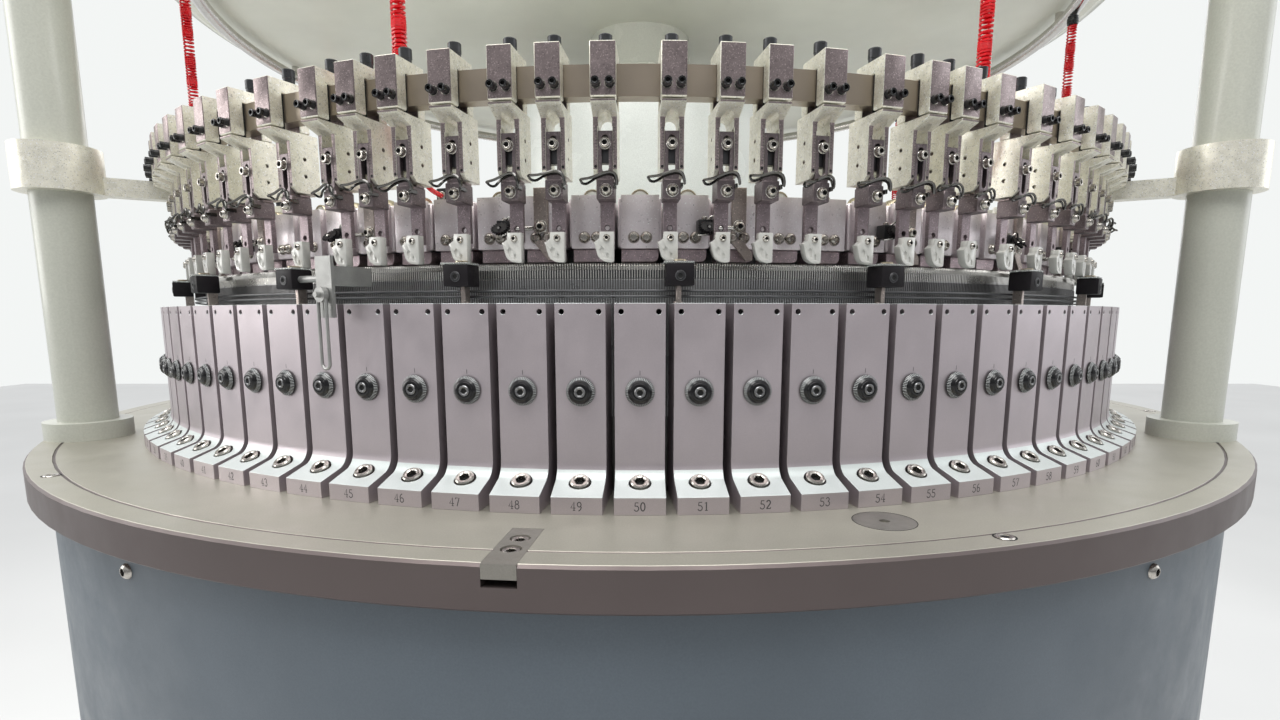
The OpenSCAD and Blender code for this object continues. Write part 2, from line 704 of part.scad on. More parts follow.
module tube(route, radius, sides = 8) {
    n = len(route);
    points = [for (i = [0 : n - 1]) each tube_ring(route, i, radius, sides)];
    walls = [for (i = [0 : n - 2], s = [0 : sides - 1]) let (t = (s + 1) % sides)
        [i * sides + s, i * sides + t, (i + 1) * sides + t, (i + 1) * sides + s]];
    ends = [[for (s = [sides - 1 : -1 : 0]) s], [for (s = [0 : sides - 1]) (n - 1) * sides + s]];
    polyhedron(points, concat(walls, ends));
}

module hose_tails() {
    color([0.85, 0.05, 0.08]) translate([0, 0, bed_z]) at_hoses() tube(tail_route, tube_r);
}

// Upper unions on the air pipe, lower unions on the feeder ring and nozzles on the dial cams
module hose_fittings() {
    nozzle_h = tail_end[1] + 6 - dial_cam_top_h;
    color([0.25, 0.25, 0.26]) translate([0, 0, bed_z]) at_hoses() {
        translate([0, -hose_r, coil_top_h]) cylinder(r = 5, h = 8 - 0.05);
        translate([-4.5, -ring_in_r + slip, ring_h + 3])
            cube([9, 17, coil_bottom_h - ring_h - 3]);
        translate([-4.5, -tail_end[0], dial_cam_top_h - 1]) cube([9, 12, nozzle_h]);
    }
}

// Needle cylinder with its neck, flange and ridges, which stand for groups of needles
module needle_cylinder() {
    color([0.3, 0.3, 0.31]) translate([0, 0, bed_z]) {
        rotate_extrude() polygon([[gear_bore_r + 25, gear_top_h], [neck_out_r, gear_top_h],
            [neck_out_r, cylinder_seat_h], [cylinder_r, cylinder_seat_h], [cylinder_r, cylinder_top_h],
            [cylinder_r - cylinder_wall, cylinder_top_h], [cylinder_r - cylinder_wall, gear_top_h + 12],
            [gear_bore_r + 25, gear_top_h + 12]]);
        round_axis(ridges) translate([-4.5, -needle_r - 0.5, knob_h - 20])
            cube([9, 3, cylinder_top_h + 8.5 - knob_h + 20]);
    }
}

// Gear outline; tooth 0 points along +X
module gear_outline(teeth, gear_mod) {
    pitch_r = teeth * gear_mod / 2;
    half = 90 / teeth - 0.9 / pitch_r * 180 / PI / 2;
    lean = 1.9 / pitch_r * 180 / PI;
    polygon([for (i = [0 : teeth - 1]) let (a = 360 * i / teeth) each [
        (pitch_r - 1.2 * gear_mod) * [cos(a - half - lean), sin(a - half - lean)],
        (pitch_r + 0.9 * gear_mod) * [cos(a - half + lean), sin(a - half + lean)],
        (pitch_r + 0.9 * gear_mod) * [cos(a + half - lean), sin(a + half - lean)],
        (pitch_r - 1.2 * gear_mod) * [cos(a + half + lean), sin(a + half + lean)]]]);
}

module bull_gear() {
    color([0.5, 0.5, 0.5]) translate([0, 0, bed_z + gear_top_h - gear_face])
        rotate([0, 0, drive_angle - 90]) linear_extrude(gear_face) difference() {
            gear_outline(gear_teeth, gear_module);
            circle(r = gear_bore_r);
        }
}

// Pinion on the motor's shaft; a gap between two of its teeth faces the main gear
module drive_pinion() {
    shaft_bottom_h = hanger_h - hanger_t - 28;
    color([0.55, 0.55, 0.56]) translate([0, 0, bed_z]) at(drive_angle)
        translate([0, -pinion_at, 0]) {
            translate([0, 0, gear_top_h - gear_face + 2]) rotate([0, 0, 90 + 180 / pinion_teeth])
                linear_extrude(gear_face - 4) gear_outline(pinion_teeth, gear_module);
            translate([0, 0, shaft_bottom_h])
                cylinder(r = pinion_shaft_r, h = cylinder_seat_h + 18 - shaft_bottom_h);
        }
}

// Motor with cooling ribs, flange, terminal box and cable gland
module drive_motor() {
    ribs = 18;
    top_h = hanger_h - hanger_t;
    flange_t = 12;
    box_w = 56;
    box_h = 70;
    box_top = 50;
    gland_at = motor_r + 18;
    gland_h = -box_top - box_h - 14;
    color([0.3, 0.36, 0.42]) translate([0, 0, bed_z + top_h]) at(drive_angle)
        translate([0, -pinion_at, 0]) difference() {
            union() {
                translate([0, 0, -motor_len]) cylinder(r = motor_r - 6, h = motor_len);
                translate([0, 0, -flange_t]) cylinder(r = motor_r + 6, h = flange_t);
                for (i = [0 : ribs - 1]) rotate(360 * i / ribs + 10)
                    translate([motor_r - 10, -1.5, 20 - motor_len]) cube([10, 3, motor_len - 50]);
                translate([motor_r - 20, -box_w / 2, -box_top - box_h]) cube([52, box_w, box_h]);
                translate([gland_at, 0, gland_h]) cylinder(r = 10, h = 20);
            }
            translate([0, 0, -30]) cylinder(r = pinion_shaft_r + run_fit, h = 30 + cut);
            translate([gland_at, 0, gland_h - cut]) cylinder(r = 6, h = 14 + cut);
        }
}

// Plate on two posts under the bed that carries the motor
module motor_bracket() {
    post_r = 10;
    post_x = motor_r + 38;
    post_at = bearing_out_r + post_r;
    edge = post_r + 4;
    inner_at = pinion_at - motor_r + 6;
    color([0.35, 0.37, 0.4]) translate([0, 0, bed_z]) at(drive_angle) difference() {
        union() {
            translate([-post_x - edge, -post_at - edge, hanger_h - hanger_t])
                cube([2 * (post_x + edge), post_at + edge - inner_at, hanger_t]);
            for (side = [-1, 1]) translate([side * post_x, -post_at, hanger_h - 1])
                cylinder(r = post_r, h = -rim - hanger_h + 1);
        }
        translate([0, -pinion_at, hanger_h - hanger_t - cut]) cylinder(r = 20, h = hanger_t + 2 * cut);
    }
}

// Frame that turns with the cylinder: mounting ring, two side plates and two tie bars
module takedown_frame() {
    top_z = bed_z + gear_top_h - gear_face;
    ring_plate = 12;
    bottom_z = beam_z - 130;
    color([0.55, 0.57, 0.58]) difference() {
        union() {
            band(side_x - side_t - 9, gear_r - 2 * gear_module + 2, top_z - ring_plate, ring_plate);
            for (side = [-1, 1])
                translate([side * (side_x - side_t / 2) - side_t / 2, -side_w / 2, bottom_z])
                    cube([side_t, side_w, top_z - bottom_z - 1]);
            for (side = [-1, 1]) translate([-side_x + 1, side * (side_w / 2 - 20), bottom_z + 30])
                rotate([0, 90, 0]) cylinder(r = 12, h = 2 * side_x - 2);
        }
        for (side = [-1, 1]) translate([-side_x - cut, side * (nip_r + nip_gap / 2), nip_z])
            rotate([0, 90, 0]) cylinder(r = 8 + run_fit, h = 2 * side_x + 2 * cut);
        translate([-side_x - cut, 0, beam_z]) rotate([0, 90, 0])
            cylinder(r = 10 + run_fit, h = 2 * side_x + 2 * cut);
        translate([-side_x - cut, 0, nip_z + 130]) rotate([0, 90, 0])
            cylinder(r = 55, h = 2 * side_x + 2 * cut);
    }
}

// Roller between the side plates, with its journals
module roller(radius, journal_r) {
    length = 2 * (side_x - side_t) - 4;
    rotate([0, 90, 0]) {
        translate([0, 0, -length / 2]) cylinder(r = radius, h = length);
        translate([0, 0, -side_x]) cylinder(r = journal_r, h = 2 * side_x);
    }
}

module nip_roller_front() {
    color([0.2, 0.2, 0.21]) translate([0, -nip_r - nip_gap / 2, nip_z]) roller(nip_r, 8);
}

module nip_roller_rear() {
    color([0.2, 0.2, 0.21]) translate([0, nip_r + nip_gap / 2, nip_z]) roller(nip_r, 8);
}

module cloth_beam() {
    color([0.7, 0.71, 0.72]) translate([0, 0, beam_z]) roller(beam_r, 10);
}

// Needle dial with its hub and shaft, which hangs by a collar on the crown
module needle_dial() {
    collar_h = crown_h + crown_t + slip;
    hub_r = 60;
    step_r = cylinder_r - cylinder_wall - 1.5;
    color([0.33, 0.33, 0.34]) translate([0, 0, bed_z]) {
        rotate_extrude() polygon([[0, dial_top_h - dial_plate - 12], [hub_r, dial_top_h - dial_plate - 12],
            [hub_r + 12, dial_top_h - dial_plate], [step_r, dial_top_h - dial_plate],
            [step_r, cylinder_top_h + 0.8], [dial_edge_r, cylinder_top_h + 0.8],
            [dial_edge_r, dial_top_h], [hub_r, dial_top_h], [hub_r - 6, dial_top_h + 12],
            [dial_shaft_r, dial_top_h + 12], [dial_shaft_r, collar_h], [dial_shaft_r + 15, collar_h],
            [dial_shaft_r + 15, collar_h + 10], [0, collar_h + 10]]);
        round_axis(ridges) translate([-4, -dial_edge_r + 1, dial_top_h - 1]) cube([8, 22, 2.5]);
    }
}

// Leg with a narrow head beside the bearing ring and pockets in both sides
module leg_outline(inset) {
    head_z = bed_z + leg_head_h;
    polygon([[leg_in_r + inset, base_top_z + inset], [leg_out_r - inset, base_top_z + inset],
        [leg_out_r - inset, inset > 0 ? head_z - 60 : bed_z - rim],
        [inset > 0 ? leg_out_r - 40 : leg_head_r, inset > 0 ? head_z - 60 : bed_z - rim],
        [inset > 0 ? leg_out_r - 40 : leg_head_r, head_z - 60 * min(inset, 1)],
        [leg_in_r + inset, head_z - 50 - 3 * inset]]);
}

module legs() {
    web = 36;
    pocket = (leg_w - web) / 2;
    color([0.4, 0.44, 0.47]) for (angle = column_angles) at(angle) difference() {
        across(leg_w) leg_outline(0);
        for (side = [-1, 1]) translate([side * (leg_w / 2 - pocket / 2 + cut / 2), 0, 0])
            across(pocket + cut) leg_outline(18);
    }
}

module base_casting() {
    color([0.36, 0.4, 0.43]) difference() {
        band(base_in_r, shell_r, base_top_z - base_t, base_t);
        round_axis(6) translate([0, -(base_in_r + shell_r) / 2, base_top_z - base_t - cut])
            cylinder(r = 10.3, h = 38 + cut);
    }
}

module levelling_feet() {
    bottom_z = base_top_z - base_t;
    color([0.25, 0.25, 0.26]) round_axis(6) translate([0, -(base_in_r + shell_r) / 2, 0]) {
        cylinder(r = 38, h = 8);
        translate([0, 0, 8]) cylinder(r1 = 30, r2 = 14, h = 5);
        cylinder(r = 10, h = bottom_z + 34);
        translate([0, 0, bottom_z - 12]) cylinder(r = 17, h = 12, $fn = 6);
    }
}

module apron() {
    color([0.36, 0.41, 0.45]) band(shell_r - sheet, shell_r, apron_bottom_z, apron_len);
}

// Fixed guard panels between the door's edges, with the hinge lugs and pins of the door
module guard_panels() {
    gap = 0.2;
    edge = door_half + 0.7;
    spans = [[edge, 60 - gap], [60 + gap, 180 - gap], [180 + gap, 300 - gap], [300 + gap, 360 - edge]];
    color([0.36, 0.41, 0.45]) difference() {
        union() {
            for (span = spans) curved_sheet(shell_r - sheet, sheet, base_top_z,
                apron_bottom_z - base_top_z, span[0], span[1]);
            at(hinge_angle) for (z = hinge_z) {
                translate([-16, -hinge_r - 3.8, z - 12]) cube([20, hinge_r + 3.8 - shell_r + 0.3, 12]);
                translate([0, -hinge_r, z - 1]) cylinder(r = hinge_pin_r, h = knuckle_len + 1);
            }
            at(inlet_angle) radial_pin(inlet_r + 7, 12, shell_r - sheet, inlet_z);
        }
        at(inlet_angle) radial_pin(inlet_r, 12 + 2 * cut, shell_r - sheet - cut, inlet_z);
    }
}

// Curved front door with stiffening lips and two hinge knuckles
module front_door() {
    bottom_z = base_top_z + 2;
    height = apron_bottom_z - base_top_z - 4;
    door_in_r = shell_r - sheet;
    lip = 14;
    color([0.36, 0.41, 0.45]) difference() {
        union() {
            curved_sheet(door_in_r, door_t, bottom_z, height, -door_half, door_half);
            for (z = [bottom_z, bottom_z + height - door_t])
                curved_sheet(door_in_r - lip, lip + 1, z, door_t, -door_half + 2, door_half - 2);
            at(hinge_angle) for (z = hinge_z) translate([0, -hinge_r, z + slip]) {
                cylinder(r = knuckle_r, h = knuckle_len);
                cube([14, hinge_r - door_in_r - door_t + 1, knuckle_len]);
            }
        }
        at(hinge_angle) for (z = hinge_z) translate([0, -hinge_r, z])
            cylinder(r = hinge_pin_r + run_fit, h = knuckle_len + cut);
    }
}

module door_handle() {
    handle_r = shell_r + 7;
    grip_z = 420;
    color([0.1, 0.1, 0.11]) at(door_half - 5) for (end = [0, 1]) {
        radial_pin(4, handle_r - shell_r + sheet - door_t, shell_r - sheet + door_t, grip_z + 140 * end);
        translate([0, -handle_r, grip_z - 12]) cylinder(r = 4.5, h = 164 * (1 - end));
    }
}

bed_plate();
bed_key_plate();
bed_plugs();
bearing_ring();
cam_blocks();
stitch_dials_rear();
for (number = [44 : 57])
    stitch_dial(number);
needle_guard_ring();
guard_ring_clamps();
feeder_ring();
feeder_ring_brackets();
feeder_clamps();
feeder_arms();
feeder_sliders();
yarn_guides();
ceramic_feeders();
dial_cam_plate();
dial_cam_blocks();
dial_cam_shoes();
latch_guards();
yarn_clips();
fork_bracket();
hairpin_lever();
hub_drum();
crown();
columns();
air_ring();
hose_coils();
hose_tails();
hose_fittings();
needle_cylinder();
bull_gear();
takedown_frame();
nip_roller_front();
nip_roller_rear();
cloth_beam();
needle_dial();
drive_pinion();
drive_motor();
motor_bracket();
legs();
base_casting();
levelling_feet();
apron();
guard_panels();
front_door();
door_handle();
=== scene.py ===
import math

import bmesh
import bpy
import numpy as np
from mathutils import Matrix, Vector
from mathutils.geometry import tessellate_polygon

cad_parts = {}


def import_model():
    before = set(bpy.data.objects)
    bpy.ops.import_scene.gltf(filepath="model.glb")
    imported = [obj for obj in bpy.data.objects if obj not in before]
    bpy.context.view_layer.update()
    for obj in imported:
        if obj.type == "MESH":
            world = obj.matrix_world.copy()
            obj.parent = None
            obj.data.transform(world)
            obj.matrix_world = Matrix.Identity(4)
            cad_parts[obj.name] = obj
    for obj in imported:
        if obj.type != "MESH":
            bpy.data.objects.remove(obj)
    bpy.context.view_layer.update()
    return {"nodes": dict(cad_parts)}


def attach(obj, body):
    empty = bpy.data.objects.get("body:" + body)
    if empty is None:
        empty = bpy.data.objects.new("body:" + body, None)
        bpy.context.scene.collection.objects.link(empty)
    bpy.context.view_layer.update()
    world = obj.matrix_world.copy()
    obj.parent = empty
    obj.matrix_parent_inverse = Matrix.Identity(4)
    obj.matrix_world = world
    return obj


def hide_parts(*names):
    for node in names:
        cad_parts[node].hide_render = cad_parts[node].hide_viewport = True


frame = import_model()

# Sizes in mm from the CAD model. Heights are above the bed unless their name ends in _z.
STATIONS = 96
STEP = 360 / STATIONS
FRONT_NUMBER = 50
FIRST_NUMBER = FRONT_NUMBER - STATIONS // 2
LOOSE_DIALS = range(44, 58)
BED_Z = 900
NEEDLE_R = 432
CAM_R = 436
FACE_R = 464
FOOT_R = 483.2
FOOT_EDGE = 9
BED_R = 552
BLOCK_H = 104.4
KNOB_H = 59.5
RING_IN, RING_OUT, RING_H, RING_T = 443, 452, 206, 15.2
CLAMP_IN, CLAMP_OUT, CLAMP_W = 436.5, 461, 12.6
CLAMP_BOTTOM, CLAMP_TOP = 202.5, 229
CLAMP_SCREW_X, CLAMP_SCREW_H = 3.4, 209.5
ARM_R, ARM_BACK, ARM_W, ARM_BOTTOM = 450, 431.5, 12.3, 168.9
SLIDER_W = 7.4
GUIDE_TOP = ARM_BOTTOM - 1.9
GUIDE_BOTTOM = GUIDE_TOP - 10
BAR_BACK = 437
BAR_BOTTOM = 137
CERAMIC_BOTTOM = 126
DIAL_CAM_R, DIAL_CAM_BACK = 421, 396
DIAL_CAM_H, DIAL_CAM_TOP = 135.2, 164.2
DIAL_TOP = 124.5
CYLINDER_TOP = 118
POST_IN = 441
HOSE_R = 430.5
COIL_BOTTOM, COIL_TOP = 227.2, 374
# Height above the bed where the drum's painted shade begins
DRUM_SHADE_H = 326
CROWN_H = 400
APRON_R = 540
BED_SCREW_R = 541
NEEDLES = 1920
PRINT_GAP = 0.02


# Camera first: it sees the knitting head from the operator's place.
def add_camera():
    data = bpy.data.cameras.new("camera")
    data.sensor_width = 36
    data.lens = 18.889
    data.shift_y = 55 / 1280
    data.clip_start = 0.02
    data.clip_end = 50
    camera = bpy.data.objects.new("camera", data)
    camera.location = (0, -0.8055, BED_Z / 1000 + 0.0985)
    camera.rotation_euler = (math.radians(90 - 8.48), 0, 0)
    bpy.context.scene.collection.objects.link(camera)
    bpy.context.scene.camera = camera


add_camera()


# Materials

def map_range(tree, source, low, high, to_low, to_high):
    node = tree.nodes.new("ShaderNodeMapRange")
    for name, value in (("From Min", low), ("From Max", high), ("To Min", to_low), ("To Max", to_high)):
        node.inputs[name].default_value = value
    tree.links.new(source, node.inputs["Value"])
    return node.outputs["Result"]


class Nodes:
    """Short hand for building one material's node tree; texture positions are in millimetres."""

    def __init__(self, name):
        self.material = bpy.data.materials.new(name)
        self.material.use_nodes = True
        self.tree = self.material.node_tree
        self.shader = self.tree.nodes["Principled BSDF"]
        coords = self.tree.nodes.new("ShaderNodeTexCoord")
        scale = self.tree.nodes.new("ShaderNodeVectorMath")
        scale.operation = "SCALE"
        scale.inputs["Scale"].default_value = 1000
        self.tree.links.new(coords.outputs["Object"], scale.inputs[0])
        self.position = scale.outputs[0]

    def link(self, source, target):
        self.tree.links.new(source, target)

    def set(self, name, value):
        """Gives one of the shader's sockets a value, or links a node's output to it."""
        socket = self.shader.inputs[name]
        if isinstance(value, bpy.types.NodeSocket):
            self.link(value, socket)
        else:
            socket.default_value = value

    def stretched(self, factors):
        node = self.tree.nodes.new("ShaderNodeVectorMath")
        node.operation = "MULTIPLY"
        node.inputs[1].default_value = factors
        self.link(self.position, node.inputs[0])
        return node.outputs[0]

    def noise(self, size, detail=2, stretch=None, rough=0.5):
        node = self.tree.nodes.new("ShaderNodeTexNoise")
        node.inputs["Scale"].default_value = 1 / size
        node.inputs["Detail"].default_value = detail
        node.inputs["Roughness"].default_value = rough
        self.link(self.stretched(stretch) if stretch else self.position, node.inputs["Vector"])
        return node.outputs["Fac"]

    def cells(self, size):
        node = self.tree.nodes.new("ShaderNodeTexVoronoi")
        node.inputs["Scale"].default_value = 1 / size
        self.link(self.position, node.inputs["Vector"])
        split = self.tree.nodes.new("ShaderNodeSeparateColor")
        self.link(node.outputs["Color"], split.inputs[0])
        return split.outputs[0]

    def spread(self, source, low, high, to_low, to_high):
        return map_range(self.tree, source, low, high, to_low, to_high)

    def cloud(self, size, detail=3):
        return self.spread(self.noise(size, detail), 0.3, 0.7, 0.0, 1.0)

    def mix(self, factor, a, b):
        node = self.tree.nodes.new("ShaderNodeMix")
        node.data_type = "RGBA"
        self.link(factor, node.inputs["Factor"])
        for socket, value in ((node.inputs[6], a), (node.inputs[7], b)):
            if isinstance(value, tuple):
                socket.default_value = (*value, 1)
            else:
                self.link(value, socket)
        return node.outputs[2]

    def bump(self, height, distance):
        node = self.tree.nodes.new("ShaderNodeBump")
        node.inputs["Distance"].default_value = distance / 1000
        node.inputs["Strength"].default_value = 1.0
        self.link(height, node.inputs["Height"])
        self.set("Normal", node.outputs["Normal"])


def shade(color, factor):
    return tuple(min(1.0, c * factor) for c in color)


def surface(name, color, rough=0.4, metal=1.0, grain=0.5, grain_depth=0.02, patch=30, patch_range=0.12,
            rough_range=0.1, brushed=None, sparkle=0.0, coat=0.0, sparkle_size=0.5):
    """Metal, paint or plastic with fine grain, cloudy tone changes and uneven gloss."""
    n = Nodes(name)
    tone = n.mix(n.cloud(patch), shade(color, 1 - patch_range), shade(color, 1 + patch_range))
    fine = n.noise(grain, 2, brushed)
    tone = n.mix(n.spread(fine, 0.3, 0.7, 0.0, 0.35), tone, shade(color, 0.7))
    if sparkle:
        flecks = n.spread(n.cells(sparkle_size), 1 - sparkle, 1.0, 0.0, 1.0)
        tone = n.mix(flecks, tone, shade(color, 1.75))
        pits = n.spread(n.cells(sparkle_size * 1.37), 0.0, sparkle * 0.8, 0.6, 0.0)
        tone = n.mix(pits, tone, shade(color, 0.45))
    n.set("Base Color", tone)
    n.set("Metallic", metal)
    smear = n.noise(patch * 0.4, 4, None, 0.65)
    low, high = rough - rough_range, rough + rough_range
    n.set("Roughness", n.spread(smear, 0.25, 0.75, low, high))
    if coat:
        n.set("Coat Weight", coat)
        n.set("Coat Roughness", 0.08)
    n.bump(fine, grain_depth)
    return n.material


CAM_BLOCK = surface("cam_block_metal", (0.52, 0.465, 0.49), 0.4, 0.75, grain=0.35, grain_depth=0.01,
                    patch=45, patch_range=0.06)
# Lighter, greener copy for the cam blocks' upward faces: painted light from above
CAM_TOP_LIT = surface("cam_block_painted_top_light", (0.60, 0.645, 0.635), 0.42, 0.3, grain=0.35, grain_depth=0.012,
                   patch=20, patch_range=0.05)
# Two copies of one cast metal with light and shade painted in: the dark one goes on front faces as painted
# shade, the bright one on side faces as painted light
CAST_SHADED = surface("clamp_metal", (0.28, 0.23, 0.23), 0.36, 0.85, grain_depth=0.03, patch=6, sparkle=0.16,
               sparkle_size=0.45)
CAST_LIT = surface("clamp_side_metal_painted_light", (0.88, 0.855, 0.74), 0.36, 0.55, grain_depth=0.035, patch=6,
                    sparkle=0.16)
CAST_DARK = surface("slider_metal", (0.20, 0.166, 0.172), 0.4, 0.85, grain_depth=0.03, patch=6, sparkle=0.1)
SLIDER_BAR = surface("slider_bar_metal", (0.30, 0.245, 0.26), 0.42, 0.8, grain=0.4, grain_depth=0.04,
                     patch=5, patch_range=0.14, sparkle=0.12, sparkle_size=0.45)
RING = surface("champagne_ring_metal", (0.355, 0.30, 0.242), 0.36, 0.85, grain=0.4, grain_depth=0.012,
               patch=60, patch_range=0.06, brushed=(1, 1, 6))
DIAL_CAM = surface("dial_cam_metal", (0.86, 0.79, 0.815), 0.36, 0.6, patch=18, patch_range=0.1,
                   brushed=(3, 3, 0.3), sparkle=0.04)
SHOE = surface("dark_shoe_metal", (0.52, 0.42, 0.445), 0.4, 0.8, grain_depth=0.05, patch=5,
               patch_range=0.2, sparkle=0.1)
GUIDE = surface("guide_wire_steel", (0.13, 0.127, 0.122), 0.2, 1.0, grain=0.6, grain_depth=0.006, patch=8,
                patch_range=0.1)
BRASS = surface("brass_screw", (0.62, 0.54, 0.40), 0.3, 1.0, grain_depth=0.01, patch=4, patch_range=0.1)
CUBE = surface("dark_cube_paint", (0.011, 0.009, 0.011), 0.5, 0.0, grain_depth=0.01, patch=6,
               patch_range=0.25)
CUBE.node_tree.nodes["Principled BSDF"].inputs["Specular IOR Level"].default_value = 0.2
DIAL_SCREW = surface("dial_screw_steel", (0.23, 0.23, 0.235), 0.28, 0.9, grain_depth=0.01, patch=4,
                     patch_range=0.15)
LEVER = surface("lever_steel", (0.36, 0.36, 0.35), 0.4, 0.7, patch=10)
KEY = surface("key_plate_steel", (0.27, 0.255, 0.228), 0.42, 0.6, patch=10, patch_range=0.08)
STEEL = surface("bright_steel", (0.62, 0.60, 0.57), 0.22, 1.0, grain=0.6, grain_depth=0.006, patch=8,
                patch_range=0.08, rough_range=0.08)
SCREW = surface("screw_steel", (0.52, 0.49, 0.45), 0.24, 1.0, grain_depth=0.01, patch=4, rough_range=0.09)
BROWN = surface("brown_steel", (0.46, 0.395, 0.365), 0.38, 0.85, grain=0.4, patch=12, patch_range=0.15,
                sparkle=0.08)
DARK = surface("dark_steel", (0.11, 0.11, 0.115), 0.38, 0.85, grain=0.6, patch=25, patch_range=0.15)
TRICK = surface("trick_wall_steel", (0.21, 0.205, 0.205), 0.42, 0.8, grain=0.4, grain_depth=0.01,
                patch_range=0.25)
IRON = surface("gear_iron", (0.30, 0.30, 0.30), 0.45, 0.85, grain=0.8, grain_depth=0.05, patch=40)
BLACK_GLOSS = surface("black_gloss", (0.005, 0.005, 0.006), 0.2, 0.0, grain=0.4, grain_depth=0.003,
                      patch=10, patch_range=0.2, rough_range=0.05)
CAP_BLACK = surface("black_cap_steel", (0.05, 0.052, 0.056), 0.34, 0.6, grain=0.4, grain_depth=0.01,
                    patch=6, patch_range=0.15)
BLACK = surface("black_satin", (0.016, 0.016, 0.018), 0.4, 0.0, grain=0.4, patch=10, patch_range=0.25)
# Near-black sheets put into holes, sockets and gaps as painted shadow
HOLE_SHADOW = surface("hole_shadow", (0.004, 0.004, 0.004), 0.8, 0.0, grain=1, grain_depth=0.0, patch=10)
MARK = surface("white_marks", (0.62, 0.64, 0.64), 0.5, 0.0, grain=0.3, grain_depth=0.004, patch=5)
ENGRAVED = surface("engraved_paint", (0.075, 0.07, 0.075), 0.6, 0.0, grain=0.3, grain_depth=0.01, patch=4,
                   patch_range=0.3)
CERAMIC = surface("white_ceramic", (0.60, 0.595, 0.56), 0.22, 0.0, grain=3, grain_depth=0.01, patch=12,
                  patch_range=0.03, rough_range=0.05, coat=0.4)
COLUMN = surface("column_paint", (0.50, 0.51, 0.45), 0.36, 0.0, grain=1.4, grain_depth=0.012, patch=150,
                 patch_range=0.05, coat=0.2)
BLUE = surface("blue_paint", (0.095, 0.118, 0.142), 0.42, 0.0, grain=0.9, grain_depth=0.012, patch=90,
               patch_range=0.08)
FRAME_GREY = surface("frame_paint", (0.30, 0.32, 0.33), 0.45, 0.0, grain=1.0, grain_depth=0.03, patch=90,
                     patch_range=0.08)
MOTOR = surface("motor_paint", (0.08, 0.11, 0.15), 0.4, 0.0, grain=1.0, grain_depth=0.04, patch=40,
                patch_range=0.1)
RUBBER = surface("roller_rubber", (0.03, 0.03, 0.032), 0.62, 0.0, grain=0.9, grain_depth=0.12,
                 patch_range=0.2)
PLUG = surface("plug_steel", (0.40, 0.385, 0.35), 0.36, 0.85, patch=12)
PALE_CAP = surface("pale_cap_metal", (0.80, 0.81, 0.78), 0.34, 0.5, grain_depth=0.01, patch=20,
                   patch_range=0.05)


def hose_material():
    n = Nodes("red_hose")
    n.set("Base Color", n.mix(n.cloud(6), (0.62, 0.006, 0.012), (0.82, 0.012, 0.02)))
    n.set("Roughness", 0.2)
    n.set("Subsurface Weight", 0.15)
    n.set("Subsurface Radius", (0.002, 0.0005, 0.0005))
    n.set("Coat Weight", 0.3)
    n.bump(n.noise(0.8, 2), 0.006)
    return n.material


def clear_material():
    n = Nodes("clear_plate")
    n.set("Base Color", (0.9, 0.93, 0.9, 1))
    n.set("Transmission Weight", 0.75)
    n.set("IOR", 1.49)
    n.set("Roughness", n.spread(n.noise(3, 3), 0.3, 0.7, 0.04, 0.2))
    return n.material


def by_height(name, levels, colors, metal, rough):
    """Two colours that change over between two heights above the floor, in mm."""
    n = Nodes(name)
    height = n.tree.nodes.new("ShaderNodeSeparateXYZ")
    n.link(n.position, height.inputs[0])
    cloud = n.cloud(80)
    tones = [n.mix(cloud, shade(color, 0.94), shade(color, 1.06)) for color in colors]
    tone = n.mix(n.spread(height.outputs["Z"], *levels, 0.0, 1.0), *tones)
    fine = n.noise(0.8, 2)
    darker = n.mix(n.spread(fine, 0.3, 0.7, 0.0, 0.15), tone, (0.1, 0.09, 0.08))
    n.set("Base Color", darker)
    n.set("Metallic", metal)
    n.set("Roughness", n.spread(n.noise(30, 4), 0.25, 0.75, rough - 0.08, rough + 0.08))
    n.bump(fine, 0.01)
    return n.material


# The casting is beige on top; the turned rim below its edge is painted much darker and browner, partly its
# own tone and partly painted shade of the dimly lit front face
BED = by_height("bed_metal_painted_rim_shade", (BED_Z - 0.3, BED_Z - 0.1), [(0.119, 0.095, 0.093), (0.43, 0.415, 0.355)],
                0.6, 0.44)
# The drum is one pale paint; the darker colour above its change-over height is painted shade on its top
DRUM = by_height("drum_paint", (BED_Z + DRUM_SHADE_H, BED_Z + DRUM_SHADE_H + 2),
                 [(0.84, 0.875, 0.845), (0.62, 0.63, 0.56)], 0.0, 0.24)
# The crown is one grey-green paint: its underside gets a much lighter copy as painted light, the parts
# above a darker copy
CROWN = by_height("crown_paint", (BED_Z + CROWN_H + 1, BED_Z + CROWN_H + 3),
                  [(0.85, 0.86, 0.77), (0.50, 0.51, 0.45)], 0.0, 0.36)
# Needle hooks catch the light above the cylinder's edge
NEEDLE = by_height("needle_steel", (BED_Z + CYLINDER_TOP - 1, BED_Z + CYLINDER_TOP + 1),
                   [(0.60, 0.60, 0.61), (0.86, 0.84, 0.80)], 0.9, 0.3)
HOSE = hose_material()
CLEAR = clear_material()


# Shapes, as (points, faces) in mm

def circle(radius, height, count):
    a = np.arange(count) * 2 * math.pi / count
    return np.stack([radius * np.cos(a), radius * np.sin(a), np.full(count, float(height))], 1)


def hexagon(corner, height, count):
    a = np.arange(count) * 2 * math.pi / count
    side = (a % (math.pi / 3)) - math.pi / 6
    r = corner * math.cos(math.pi / 6) / np.cos(side)
    return np.stack([r * np.cos(a), r * np.sin(a), np.full(count, float(height))], 1)


